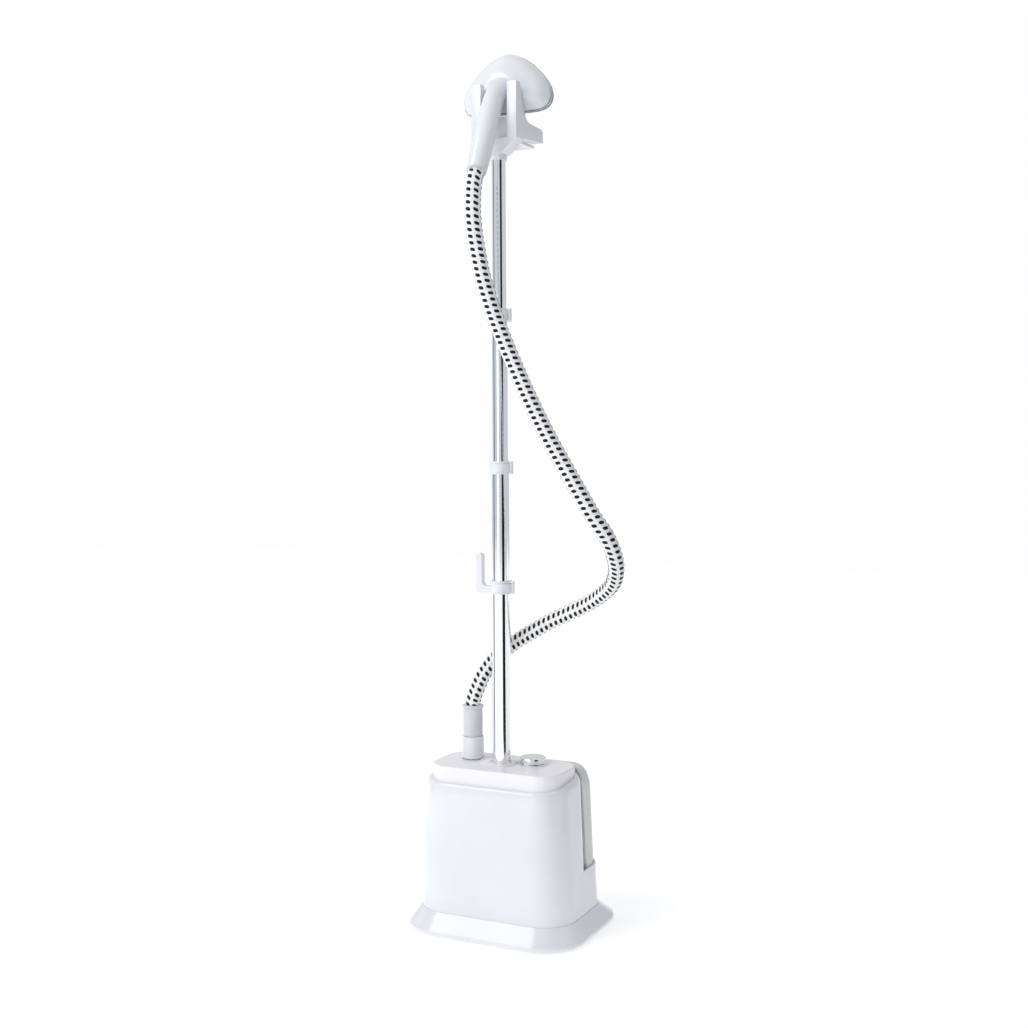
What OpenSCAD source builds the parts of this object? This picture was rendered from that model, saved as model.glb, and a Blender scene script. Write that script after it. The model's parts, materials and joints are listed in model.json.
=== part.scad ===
// Upright garment steamer: floor base with a lift-off tank, four-part telescopic
// pole, cradle, handset and steam hose. Millimetres, front towards -Y, origin on
// the floor under the middle of the base.

/* [Base] */
// Width of the flared base tray
skirt_w = 326; // [300:2:380]
// Depth of the flared base tray
skirt_d = 264; // [240:2:310]
// Corner radius of the flared base tray
skirt_r = 74; // [60:1:90]
// Air gap between the tray's edge and the floor
skirt_gap = 4; // [3:0.5:8]
// Height at which the tray meets the housing
skirt_h = 36; // [30:1:45]
// Width of the housing at its foot
body_w = 288; // [260:2:320]
// Distance from the origin to the housing's front face
body_front = 107; // [95:1:115]
// Distance from the origin to the housing's rear face
body_rear = 93; // [85:1:100]
// Corner radius of the housing at its foot
body_r = 60; // [45:1:65]
// How much narrower the housing is at its shoulder
body_draft = 24; // [10:1:40]
// Height at which the shoulder starts to curve in
shoulder_z = 241; // [200:1:280]
// Height of the shoulder curve
shoulder_h = 18; // [10:1:24]
// Height of the deck's flat top
deck_z = 287; // [275:1:340]
// How far the deck's band stands in from the housing's side
deck_inset = 11; // [9:0.5:16]
// Wall thickness of the housing and the deck
wall = 2.6; // [2:0.1:4]

/* [Tank] */
// Height of the tray rim that the tank drops into
rim_z = 108; // [95:1:125]
// Depth of the tank seat below the rim
seat_drop = 9; // [5:1:14]
// Height of the tank's top
tank_top = 277; // [240:1:300]
// How far the tank's side stands in from the housing's side
tank_inset = 4; // [3:0.5:8]
// Wall thickness of the tank
tank_wall = 2.2; // [1.6:0.1:3]
// Bore of the tank's filling neck
neck_bore = 24; // [18:1:26]

/* [Pole] */
// Outer diameter of the lowest tube
tube_d = 32; // [28:0.5:38]
// Step in diameter from each tube to the next
tube_step = 3; // [2.6:0.1:3.5]
// Wall thickness of each tube
tube_t = 0.8; // [0.6:0.1:1]
// Distance of the pole's axis in front of the origin
pole_y = 36; // [30:1:45]
// Heights of the three clamp collars
collar_z = [594, 798, 1055];
// Height of the underside of the cradle's socket
cradle_z = 1313; // [1250:1:1400]
// Height of a clamp collar
collar_h = 22; // [18:1:28]

/* [Cradle] */
// Outer width of the cradle's fork
fork_w = 83; // [76:1:96]
// Width of the slot that the handset's neck drops into
slot_w = 49; // [44:1:54]
// Height of the fork's prongs above the socket's underside
prong_h = 125; // [110:1:140]

/* [Handset] */
// Diameter of the handle where the hose enters it
tail_d = 33; // [31:0.5:38]
// Lean of the handle from upright, in degrees
handle_lean = 26.6; // [20:0.2:32]
// Width of the steam head
head_w = 162; // [140:1:180]
// Height of the steam head
head_h = 101; // [90:1:115]
// Lean of the steam head's face from upright, in degrees
head_lean = 9.6; // [5:0.2:14]

/* [Hose] */
// Outer diameter of the sleeved steam hose
hose_d = 27.5; // [24:0.5:30]

/* [Fits] */
// Radial clearance of a part that slides or turns in a bore
running = 0.05; // [0.02:0.01:0.1]
// Gap between shells that can be lifted apart
shell_gap = 1.5; // [1:0.1:2.5]

/* [Hidden] */
eps = 0.01;
corner_steps = 7;
body_foot = skirt_h - 4;
shoulder_top = shoulder_z + shoulder_h;
shoulder_in = 6.5;
upper_rear = 40;
tank_front = upper_rear - 23;
top_tilt = 14 / 131;
deck_w = body_w - body_draft - 2 * deck_inset;
deck_front = body_front - 3.5 - deck_inset;
deck_rear = 32;
deck_r = body_r - 8 - deck_inset;
seat_z = rim_z - seat_drop;
tray_t = 3.2;
floor_z = skirt_gap + 8;
neck_at = [0, 65];
well_r = neck_bore / 2 + 12;
outlet_at = [-66, -17];
dial_at = [48, -14];
lamp_at = [19.4, -16.6];
gland_at = [-70, 62];
pole_at = [0, -pole_y];
socket_floor = deck_z - 62;
collar_lap = 2;
lever_h = collar_h - 8.4;
head_pivot = [0, 0, cradle_z + 102];
tail_at = [0, -117, cradle_z - 29];
tube_bottom = [socket_floor, collar_z[0] - 114, collar_z[1] - 56, collar_z[2] - 40];
tube_top = [for (z = collar_z) z + collar_lap];
tab_x = 1 - tube_d / 2 - 7 - tube_d / 2;
tab_w = 14;
tab_l = -tube_d / 2 - 6 - tab_x;
fork_front = 54;
fork_floor = cradle_z + 32;
// The hose's route, from the cuff on the deck to the handset's tail
cuff_top = deck_z + 95;
hose_route = [
    [-66, -17, 382], [-64, -17, 394], [-58, -16, 410], [-47, -12, 436], [-29, -4, 463],
    [0, 3, 489], [36, 7, 512], [74, 8, 534], [112, 7, 552], [146, 3, 569],
    [176, -7, 588], [200, -22, 608], [214, -42, 634], [217, -62, 662], [210, -78, 692],
    [192, -90, 724], [156, -98, 788], [120, -102, 850], [86, -105, 916], [58, -109, 978],
    [34, -116, 1040], [17, -126, 1102], [7, -134, 1164], [3, -137, 1208], [1, -133, 1240],
    [0, -126.5, 1265], [0, -118, 1282]
];
hose_seams = [cuff_top, 616, 913, 1220, 1400];

$fn = 48;

// ---------- outlines and lofts ----------

function arc(cx, cy, r, a0, a1, n = corner_steps) =
    [for (i = [0 : n]) let (a = a0 + (a1 - a0) * i / n) [cx + r * cos(a), cy + r * sin(a)]];

// A rectangle with round corners, from y = -front to y = rear
function rounded(w, front, rear, r) = concat(
    arc(w / 2 - r, rear - r, r, 0, 90),
    arc(r - w / 2, rear - r, r, 90, 180),
    arc(r - w / 2, r - front, r, 180, 270),
    arc(w / 2 - r, r - front, r, 270, 360));

function flat(pts, z) = [for (p = pts) [p[0], p[1], z]];

// A level that rises towards the rear, as the housing's shoulder does
function tilted(pts, z) =
    [for (p = pts) [p[0], p[1], z + top_tilt * (p[1] + body_front - 8)]];

function between(a, b, t) = [for (i = [0 : len(a) - 1]) a[i] * (1 - t) + b[i] * t];

// Stacks rings of equal length into one closed solid
module loft(rings) {
    n = len(rings[0]);
    m = len(rings);
    polyhedron(
        points = [for (ring = rings) for (p = ring) p],
        faces = concat(
            [[for (i = [0 : n - 1]) i]],
            [[for (i = [n - 1 : -1 : 0]) (m - 1) * n + i]],
            [for (k = [0 : m - 2]) for (i = [0 : n - 1]) let (j = (i + 1) % n)
                each [[k * n + i, (k + 1) * n + i, (k + 1) * n + j],
                      [k * n + i, (k + 1) * n + j, k * n + j]]]));
}

// The housing's width, corner radius and front face fall away with height
function rise(z) = (z - body_foot) / (shoulder_z - body_foot);
function width_at(z) = body_w - body_draft * rise(z);
function radius_at(z) = body_r - 8 * rise(z);
function front_at(z) = body_front - 3.5 * rise(z);
function full_ring(z, inset) =
    rounded(width_at(z) - 2 * inset, front_at(z) - inset, body_rear - inset, radius_at(z) - inset);
function upper_ring(z, inset) =
    rounded(width_at(z) - 2 * inset, front_at(z) - inset, upper_rear - inset, radius_at(z) - inset);
function skirt_ring(inset) =
    rounded(skirt_w - 2 * inset, skirt_d / 2 - inset, skirt_d / 2 - inset, skirt_r - inset);

// ---------- base ----------

module base_skirt() {
    top_ring = full_ring(skirt_h, -1.5);
    color("white")
    difference() {
        loft([
            flat(skirt_ring(0), skirt_gap),
            flat(skirt_ring(0), skirt_gap + 4),
            flat(between(skirt_ring(0), top_ring, 0.2), skirt_gap + 10),
            flat(between(skirt_ring(0), top_ring, 0.6), skirt_gap + 21),
            flat(top_ring, skirt_h)]);
        loft([flat(skirt_ring(6), skirt_gap - 1), flat(skirt_ring(6), skirt_gap + 5)]);
        loft([flat(full_ring(body_foot, 5), floor_z), flat(full_ring(body_foot, 5), body_foot + 1)]);
        loft([flat(full_ring(body_foot, -0.1), body_foot), flat(full_ring(body_foot, -0.1), skirt_h + 1)]);
        for (p = screw_places()) translate([p[0], p[1], 0]) cylinder(d = 4.2, h = skirt_h);
    }
}

function screw_places() = [for (x = [-1, 1]) for (y = [-70, 55]) [x * (body_w / 2 - 42), y]];
function foot_places() = [for (x = [-1, 1]) for (y = [-1, 1]) [x * (skirt_w / 2 - 48), y * (skirt_d / 2 - 47)]];

module foot_pads() {
    color("dimgray")
    for (p = foot_places()) translate([p[0], p[1], 0]) rotate_extrude()
        polygon([[0, 0], [11, 0], [12.5, 1.5], [13, skirt_gap + 5], [0, skirt_gap + 5]]);
}

module base_screws() {
    color("silver")
    for (p = screw_places()) translate([p[0], p[1], skirt_gap + 5]) {
        mirror([0, 0, 1]) cylinder(d = 8, h = 2.4);
        cylinder(d = 4, h = 24);
    }
}

module housing() {
    curve = [15, 40, 65, 90];
    color("white")
    difference() {
        union() {
            loft([flat(full_ring(body_foot, 0), body_foot),
                flat(full_ring(rim_z - 3, 0), rim_z - 3),
                flat(full_ring(rim_z - 1, 0.6), rim_z - 1),
                flat(full_ring(rim_z, 1.8), rim_z)]);
            loft(concat(
                [flat(upper_ring(seat_z - 9, 0), seat_z - 9), tilted(upper_ring(shoulder_z, 0), shoulder_z)],
                [for (a = curve) tilted(upper_ring(shoulder_z, shoulder_in * (1 - cos(a))),
                    shoulder_z + shoulder_h * sin(a))]));
        }
        loft([flat(full_ring(body_foot, wall), body_foot - 1), flat(full_ring(seat_z - 7, wall), seat_z - 7)]);
        loft([flat(upper_ring(body_foot, wall), body_foot - 1),
            tilted(upper_ring(shoulder_z, wall), shoulder_z - 4),
            tilted(upper_ring(shoulder_z, deck_inset + 5), shoulder_top - 4),
            tilted(upper_ring(shoulder_z, deck_inset + 5), shoulder_top + 1)]);
        difference() {
            union() {
                loft([flat(full_ring(seat_z, wall + 1), seat_z - tray_t),
                    flat(full_ring(seat_z, wall + 1), rim_z + 1)]);
                loft([flat(full_ring(seat_z, wall + 6), seat_z - 8), flat(full_ring(seat_z, wall + 6), rim_z)]);
            }
            loft([flat(upper_ring(body_foot, 0), body_foot), flat(upper_ring(shoulder_z, 0), shoulder_z)]);
        }
        translate([neck_at[0], neck_at[1], seat_z - 12]) cylinder(r = well_r + 0.3, h = 12);
        translate([gland_at[0], body_rear - 10, gland_at[1]]) rotate([-90, 0, 0]) cylinder(d = 16.2, h = 20);
    }
    // Posts that the base screws run into, each ribbed to the side wall
    color("white")
    for (p = screw_places()) difference() {
        union() {
            translate([p[0], p[1], floor_z]) cylinder(d = 10, h = 30);
            translate([min(p[0], sign(p[0]) * (body_w / 2 - 6)), p[1] - 1.5, body_foot + 0.5])
                cube([body_w / 2 - 6 - abs(p[0]), 3, 9]);
        }
        translate([p[0], p[1], floor_z - 1]) cylinder(d = 4.1, h = 22);
    }
}

// Plate that the tank stands on, open where the valve seat comes through
module tank_tray() {
    color("white")
    difference() {
        loft([flat(full_ring(seat_z, wall + 1.2), seat_z - tray_t),
            flat(full_ring(seat_z, wall + 1.2), seat_z)]);
        loft([flat(upper_ring(body_foot, -0.2), body_foot), flat(upper_ring(shoulder_z, -0.2), shoulder_z)]);
        translate([neck_at[0], neck_at[1], seat_z - 10]) cylinder(r = well_r + 0.1, h = 20);
        translate([neck_at[0] - 7, upper_rear - 1, seat_z - 10]) cube([14, 8, 20]);
    }
}

// Cup that takes the tank's cap and leads the water down to the feed tube
module valve_seat() {
    color("white")
    translate([neck_at[0], neck_at[1], seat_z - 23]) difference() {
        cylinder(r = well_r, h = 23);
        translate([0, 0, 3]) cylinder(r = well_r - 2.2, h = 30);
        translate([0, 0, -1]) cylinder(d = 5, h = 20);
    }
    // The opener pin stands on three ribs over the outlet
    color("white")
    translate([neck_at[0], neck_at[1], seat_z - 20.5]) {
        difference() {
            cylinder(d = 9, h = 3);
            translate([0, 0, -1]) cylinder(d = 5, h = 5);
        }
        for (a = [0, 120, 240]) rotate([0, 0, a]) translate([1.5, -0.8, 0]) cube([3, 1.6, 3]);
        cylinder(d = 3.6, h = 3.2);
    }
}

module cord_gland() {
    color("gainsboro")
    translate([gland_at[0], body_rear, gland_at[1]]) rotate([-90, 0, 0]) difference() {
        union() {
            translate([0, 0, -12]) cylinder(d = 16, h = 12);
            cylinder(d = 21, h = 2.5);
            translate([0, 0, 2]) cylinder(d = 13, h = 7);
        }
        translate([0, 0, -20]) cylinder(d = 8.2, h = 40);
    }
}

// ---------- inside the base ----------

boiler_at = [-35, -28, 44];
boiler_size = [110, 70, 52];

module boiler() {
    color("silver")
    translate(boiler_at) difference() {
        union() {
            translate([-boiler_size[0] / 2, -boiler_size[1] / 2, 0]) cube(boiler_size);
            for (x = [-1, 1]) translate([x * (boiler_size[0] / 2 - 8), 0, floor_z - boiler_at[2]])
                cylinder(d = 12, h = boiler_at[2] - floor_z + 1);
        }
        translate([6 - boiler_size[0] / 2, 6 - boiler_size[1] / 2, 12])
            cube([boiler_size[0] - 12, boiler_size[1] - 12, boiler_size[2]]);
        translate([35, boiler_size[1] / 2 - 10, 24]) rotate([-90, 0, 0]) cylinder(d = 8, h = 20);
    }
}

module boiler_gasket() {
    color("tomato")
    translate([boiler_at[0], boiler_at[1], boiler_at[2] + boiler_size[2]]) difference() {
        translate([-boiler_size[0] / 2, -boiler_size[1] / 2, 0]) cube([boiler_size[0], boiler_size[1], 1.5]);
        translate([6 - boiler_size[0] / 2, 6 - boiler_size[1] / 2, -1])
            cube([boiler_size[0] - 12, boiler_size[1] - 12, 4]);
    }
}

lid_z = boiler_at[2] + boiler_size[2] + 1.5;

module boiler_lid() {
    color("silver")
    difference() {
        union() {
            translate([boiler_at[0] - boiler_size[0] / 2, boiler_at[1] - boiler_size[1] / 2, lid_z])
                cube([boiler_size[0], boiler_size[1], 6]);
            translate([outlet_at[0], outlet_at[1], lid_z]) cylinder(d = 20, h = 14);
        }
        translate([outlet_at[0], outlet_at[1], lid_z - 1]) cylinder(d = 12, h = 20);
    }
}

module thermostat() {
    color("gainsboro")
    translate([boiler_at[0] + 26, boiler_at[1], lid_z + 6]) {
        cylinder(d = 18, h = 9);
        for (x = [-5, 5]) translate([x - 1, -3, 9]) cube([2, 6, 8]);
    }
}

// Silicone tube from the tank's seat down to the boiler
module feed_tube() {
    drop_z = boiler_at[2] + 24;
    color("white")
    difference() {
        union() {
            translate([neck_at[0], neck_at[1], drop_z]) cylinder(d = 8, h = seat_z - 23 - drop_z);
            translate([neck_at[0], neck_at[1], drop_z]) sphere(d = 8);
            translate([neck_at[0], boiler_at[1] + boiler_size[1] / 2 - 6, drop_z]) rotate([-90, 0, 0])
                cylinder(d = 7.9, h = neck_at[1] - boiler_at[1] - boiler_size[1] / 2 + 6);
        }
        translate([neck_at[0], neck_at[1], drop_z]) cylinder(d = 4, h = 60);
        translate([neck_at[0], boiler_at[1], drop_z]) rotate([-90, 0, 0])
            cylinder(d = 4, h = neck_at[1] - boiler_at[1]);
    }
}

module steam_pipe() {
    low = lid_z + 3;
    color("silver")
    translate([outlet_at[0], outlet_at[1], low]) difference() {
        cylinder(d = 11.9, h = deck_z - 8 - low);
        translate([0, 0, -1]) cylinder(d = 9, h = deck_z);
    }
}

// ---------- deck ----------

module deck() {
    outline = rounded(deck_w, deck_front, deck_rear, deck_r);
    inner = rounded(deck_w - 2 * wall, deck_front - wall, deck_rear - wall, deck_r - wall);
    color("white")
    difference() {
        loft([tilted(outline, shoulder_top), flat(outline, deck_z)]);
        loft([tilted(inner, shoulder_top - 1), flat(inner, deck_z - wall)]);
        translate([pole_at[0], pole_at[1], deck_z - 10]) cylinder(d = tube_d + 6.2, h = 20);
        translate([outlet_at[0], outlet_at[1], deck_z - 10]) cylinder(d = 26.2, h = 20);
        translate([dial_at[0], dial_at[1], deck_z - 10]) cylinder(d = 12, h = 20);
        translate([lamp_at[0], lamp_at[1], deck_z - 10]) cylinder(d = 6.2, h = 20);
    }
}

module rotary_switch() {
    color("dimgray")
    translate([dial_at[0], dial_at[1], deck_z - wall]) difference() {
        union() {
            translate([-13, -13, -20]) cube([26, 26, 19]);
            translate([0, 0, -2]) cylinder(d = 18, h = 2);
        }
        translate([0, 0, -16]) cylinder(d = 6 + 2 * running, h = 30);
    }
}

module dial_base() {
    color("silver")
    translate([dial_at[0], dial_at[1], deck_z]) difference() {
        cylinder(d = 48, h = 2.4);
        translate([0, 0, -1]) cylinder(d = 14, h = 5);
    }
}

// Knob and its shaft, one turned and plated piece
module dial_knob() {
    color("silver")
    translate([dial_at[0], dial_at[1], deck_z + 2.7]) {
        rotate_extrude() polygon([[0, 0], [22, 0], [23, 1], [23, 7.5], [21.5, 10.2], [18, 11.4],
            [15, 10.6], [0, 9.6]]);
        translate([0, 0, -wall - 17]) cylinder(d = 6, h = wall + 18);
    }
}

module indicator_lens() {
    color("lightyellow")
    translate([lamp_at[0], lamp_at[1], deck_z]) {
        translate([0, 0, -8]) cylinder(d = 6, h = 8);
        cylinder(d = 8, h = 1.2);
    }
}

// Threaded steam spigot that the hose's nut turns on
module steam_outlet() {
    color("white")
    translate([outlet_at[0], outlet_at[1], deck_z]) difference() {
        union() {
            translate([0, 0, -14]) cylinder(d = 26, h = 14);
            cylinder(d = 30, h = 2);
            cylinder(d = 24, h = 30);
        }
        translate([0, 0, -20]) cylinder(d = 12, h = 60);
    }
}

module coupling_nut() {
    color("white")
    translate([outlet_at[0], outlet_at[1], deck_z + 2.3]) difference() {
        rotate_extrude() polygon([[0, 0], [20.2, 0], [20.2, 4], [19.6, 6], [19, 38], [0, 38]]);
        translate([0, 0, -1]) cylinder(d = 24 + 2 * running, h = 29);
        cylinder(d = 20 + 2 * running, h = 60);
    }
}

// Soft sleeve that keeps the hose from kinking at the nut
module hose_cuff() {
    low = deck_z + 31;
    color("lightgray")
    translate([outlet_at[0], outlet_at[1], 0]) difference() {
        union() {
            translate([0, 0, low]) cylinder(d = 20, h = 10);
            translate([0, 0, deck_z + 40.6]) cylinder(d = 34, h = cuff_top - deck_z - 40.6);
            translate([0, 0, cuff_top - 4]) cylinder(d = 38, h = 4);
        }
        translate([0, 0, low - 1]) cylinder(d = 12, h = 100);
    }
}

// ---------- tank ----------

// Block behind the housing, as deep as the housing's foot: the full outline less
// the upper housing, its gap and everything in front of the side horns
module tank_block(z0, z1, skin, round) {
    straight = shoulder_z - 6;
    difference() {
        loft(concat([flat(full_ring(z0, tank_inset + skin), z0),
                flat(full_ring(straight, tank_inset + skin), straight)],
            [for (a = [25, 50, 70, 90])
                flat(full_ring(straight, tank_inset + skin + round * (1 - cos(a))),
                    straight + (z1 - straight) * sin(a))]));
        loft([flat(upper_ring(z0 - 1, -shell_gap - skin), z0 - 1),
            flat(upper_ring(z1 + 1, -shell_gap - skin), z1 + 1)]);
        translate([-body_w, -2 * body_front, z0 - 2])
            cube([2 * body_w, 2 * body_front + tank_front + skin, z1]);
    }
}

module water_tank() {
    bottom = seat_z + 0.3;
    color("lightcyan")
    difference() {
        union() {
            tank_block(bottom, tank_top, 0, 22);
            translate([neck_at[0], neck_at[1], bottom - 9]) cylinder(d = neck_bore + 6, h = 10);
        }
        tank_block(bottom + tank_wall, tank_top - tank_wall, tank_wall, 20);
        translate([neck_at[0], neck_at[1], bottom - 10]) cylinder(d = neck_bore, h = 14);
    }
}

cap_z = seat_z - 12.9;

module tank_seal() {
    color("tomato")
    translate([neck_at[0], neck_at[1], cap_z + 2.6]) difference() {
        cylinder(d = neck_bore + 5.6, h = 1.4);
        translate([0, 0, -1]) cylinder(d = neck_bore - 2, h = 4);
    }
}

module tank_cap() {
    color("white")
    translate([neck_at[0], neck_at[1], cap_z]) difference() {
        union() {
            cylinder(d = neck_bore + 11, h = 12);
            for (a = [0 : 45 : 315]) rotate([0, 0, a]) translate([neck_bore / 2 + 5, -1, 0]) cube([1.6, 2, 12]);
        }
        difference() {
            translate([0, 0, 2.6]) cylinder(d = neck_bore + 6 + 2 * running, h = 20);
            // Cage over the valve, standing inside the seal
            difference() {
                cylinder(d = neck_bore - 2.4, h = 14);
                cylinder(d = neck_bore - 5, h = 12.6);
                for (a = [0, 90]) rotate([0, 0, a]) translate([-20, -4, 2.7]) cube([40, 8, 8]);
            }
        }
        translate([0, 0, -1]) cylinder(d = 5 + 2 * running, h = 10);
        for (a = [45, 135, 225, 315]) rotate([0, 0, a]) translate([6, 0, -1]) cylinder(d = 3, h = 5);
    }
}

module valve_plunger() {
    color("dimgray")
    translate([neck_at[0], neck_at[1], cap_z]) {
        translate([0, 0, -3.2]) cylinder(d = 5, h = 16.2);
        translate([0, 0, 2.9]) cylinder(d = 18, h = 2);
    }
}

module valve_spring() {
    color("silver")
    translate([neck_at[0], neck_at[1], cap_z + 5.2]) difference() {
        cylinder(d = 9.6, h = 7.3);
        translate([0, 0, -1]) cylinder(d = 6.4, h = 10);
    }
}

// ---------- pole ----------

function tube_od(i) = tube_d - (i - 1) * tube_step;
function tube_id(i) = tube_od(i) - 2 * tube_t;
function collar_od(i) = tube_od(i) + 5;

module pole_socket() {
    color("white")
    translate([pole_at[0], pole_at[1], 0]) difference() {
        union() {
            translate([0, 0, socket_floor - 3]) cylinder(d = tube_d + 6, h = deck_z - socket_floor + 4);
            translate([0, 0, deck_z]) {
                for (x = [-tube_d / 2, 0]) translate([x, 0, 0]) cylinder(r = tube_d / 2 + 7, h = 3.4);
                translate([-tube_d / 2, -tube_d / 2 - 7, 0]) cube([tube_d / 2, tube_d + 14, 3.4]);
            }
        }
        translate([0, 0, socket_floor]) cylinder(d = tube_d + 0.06, h = 100);
        translate([tab_x - 0.3, -tab_w / 2 - 0.3, deck_z + 0.8]) cube([40, tab_w + 0.6, 10]);
        translate([-tube_d / 2, -tab_w / 2 - 0.3, deck_z + 0.8]) cube([20, tab_w + 0.6, 10]);
    }
}

module pole_lock_tab() {
    color("white")
    translate([pole_at[0] + tab_x, pole_at[1] - tab_w / 2, deck_z + 1.1]) {
        cube([tab_l, tab_w, 2.6]);
        cube([3, tab_w, 4.6]);
    }
}

module tube(i, z0, z1) {
    color("silver")
    translate([pole_at[0], pole_at[1], z0]) difference() {
        cylinder(d = tube_od(i), h = z1 - z0);
        translate([0, 0, -1]) cylinder(d = tube_id(i), h = z1 - z0 + 2);
    }
}

module tube_1() tube(1, tube_bottom[0], tube_top[0]);
module tube_2() tube(2, tube_bottom[1], tube_top[1]);
module tube_3() tube(3, tube_bottom[2], tube_top[2]);
module tube_4() tube(4, tube_bottom[3], fork_floor);

// Plug in a tube's lower end that guides it in the tube below
module bush(i) {
    color("gainsboro")
    translate([pole_at[0], pole_at[1], tube_bottom[i - 1]]) difference() {
        union() {
            translate([0, 0, -10]) cylinder(r = tube_id(i - 1) / 2 - running, h = 10);
            cylinder(r = tube_id(i) / 2 - 0.02, h = 10);
        }
        translate([0, 0, -11]) cylinder(r = tube_id(i) / 2 - 3, h = 30);
    }
}

module bush_2() bush(2);
module bush_3() bush(3);
module bush_4() bush(4);

eye_r = 3.3;
ear_h = collar_h / 2 - lever_h / 2 - 0.3;
function pin_x(i) = collar_od(i) / 2 + eye_r + 0.3;

// Clamp on a tube's upper end, with two ears for its flip lever
module collar(i) {
    color("white")
    translate([pole_at[0], pole_at[1], collar_z[i - 1]]) difference() {
        union() {
            translate([0, 0, -collar_h / 2]) cylinder(d = collar_od(i), h = collar_h);
            for (side = [0, 1]) mirror([0, 0, side]) translate([0, 0, lever_h / 2 + 0.3]) {
                translate([pin_x(i), 0, 0]) cylinder(r = eye_r, h = ear_h);
                translate([pin_x(i) - 8, -eye_r, 0]) cube([8, 2 * eye_r, ear_h]);
            }
        }
        translate([0, 0, -collar_h]) cylinder(d = tube_od(i) + 0.04, h = collar_h + collar_lap);
        cylinder(d = tube_od(i + 1) + 2 * running, h = collar_h);
        translate([pin_x(i), 0, -collar_h]) cylinder(r = 1.52, h = 2 * collar_h);
    }
}

module collar_1() collar(1);
module collar_2() collar(2);
module collar_3() collar(3);

module lever_pin(i) {
    color("silver")
    translate([pole_at[0] + pin_x(i), pole_at[1], collar_z[i - 1] - collar_h / 2])
        cylinder(r = 1.5, h = collar_h);
}

module lever_pin_1() lever_pin(1);
module lever_pin_2() lever_pin(2);
module lever_pin_3() lever_pin(3);

// Flip lever: an eye on the pin and a flap that lies round the collar's front
module lever(i) {
    r_in = collar_od(i) / 2 + 0.45;
    color("white")
    translate([pole_at[0], pole_at[1], collar_z[i - 1] - lever_h / 2]) difference() {
        union() {
            translate([pin_x(i), 0, 0]) cylinder(r = eye_r, h = lever_h);
            difference() {
                cylinder(r = r_in + 2.6, h = lever_h);
                translate([0, 0, -1]) cylinder(r = r_in, h = lever_h + 2);
                translate([-100, -0.5, -1]) cube([200, 100, lever_h + 2]);
                translate([-100.8, -100, -1]) cube([100, 200, lever_h + 2]);
            }
        }
        translate([pin_x(i), 0, -1]) cylinder(r = 1.5 + running, h = lever_h + 2);
    }
}

module lever_1() lever(1);
module lever_2() lever(2);
module lever_3() lever(3);

// J-shaped hook on the lowest collar's left side
module hose_hook() {
    finger_x = 40;
    half = 6;
    tip_z = 51;
    color("white")
    translate([pole_at[0], pole_at[1], collar_z[0]]) difference() {
        union() {
            translate([-finger_x, -half, -11]) cube([finger_x - 12, 2 * half, 12]);
            translate([-finger_x, half, -5]) rotate([90, 0, 0]) cylinder(r = half, h = 2 * half);
            translate([-finger_x - half, -half, -5]) cube([2 * half, 2 * half, tip_z + 5]);
            translate([-finger_x, half, tip_z]) rotate([90, 0, 0]) cylinder(r = half, h = 2 * half);
            difference() {
                translate([-finger_x + half - 1, -half, 0]) cube([9, 2 * half, 9]);
                translate([-finger_x + half + 8, half + 1, 9]) rotate([90, 0, 0]) cylinder(r = 8, h = 2 * half + 2);
            }
        }
        translate([0, 0, -collar_h]) cylinder(d = collar_od(1), h = 4 * collar_h);
    }
}

// ---------- cradle ----------

module fork_side() {
    rotate([90, 0, 90]) linear_extrude((fork_w - slot_w) / 2)
        polygon([
            [-fork_front, fork_floor], [52, fork_floor + 8], [52, fork_floor + 26], [46, fork_floor + 30],
            [-5, fork_floor + 32], [-14, fork_floor + 37], [-25, fork_floor + 53],
            [-38, cradle_z + prong_h - 3], [-41, cradle_z + prong_h], [-fork_front, cradle_z + prong_h]]);
}

module cradle() {
    half = fork_w / 2;
    color("white")
    difference() {
        union() {
            for (side = [0, 1]) mirror([side, 0, 0]) translate([slot_w / 2, 0, 0]) fork_side();
            translate([-slot_w / 2 - 1, -fork_front + 8, fork_floor]) cube([slot_w + 2, 4, 38]);
            translate([-slot_w / 2 - 1, -fork_front + 8, fork_floor]) cube([slot_w + 2, 96, 5]);
            translate([0, -22, 0]) rotate([90, 0, 0]) linear_extrude(fork_front - 22)
                polygon([[-half, fork_floor + 2], [-14, cradle_z + 9], [14, cradle_z + 9], [half, fork_floor + 2]]);
            translate([pole_at[0], pole_at[1], cradle_z]) cylinder(r = 14, h = 34);
        }
        translate([pole_at[0], pole_at[1], cradle_z - 1]) cylinder(d = tube_od(4) + 0.06, h = fork_floor - cradle_z + 1);
        translate([pole_at[0], pole_at[1], cradle_z + 12]) rotate([-90, 0, 0]) cylinder(d = 3.1, h = 30);
    }
}

module cradle_screw() {
    color("silver")
    translate([pole_at[0], pole_at[1] + tube_od(4) / 2 + 0.1, cradle_z + 12]) rotate([-90, 0, 0]) {
        cylinder(d = 3, h = 3);
        translate([0, 0, 2.4]) cylinder(d = 6, h = 2.2);
    }
}

// ---------- handset ----------

// Half outline of the steam head's face as [across, up] shares of its width and height
head_half = [[0, 1], [0.07, 0.975], [0.14, 0.93], [0.22, 0.85], [0.29, 0.76], [0.37, 0.63],
    [0.435, 0.5], [0.475, 0.39], [0.495, 0.29], [0.5, 0.22], [0.485, 0.12], [0.44, 0.045],
    [0.37, 0.01], [0.25, 0]];
head_low = -18;
head_mid = 38;

function head_outline(scale, shift = 0) = concat(
    [for (p = head_half) head_point(p, scale, shift)],
    [for (i = [len(head_half) - 1 : -1 : 1]) head_point([-head_half[i][0], head_half[i][1]], scale, shift)]);
function head_point(p, scale, shift) =
    [p[0] * head_w * scale, head_mid + shift + (head_low + p[1] * head_h - head_mid) * scale];

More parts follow.
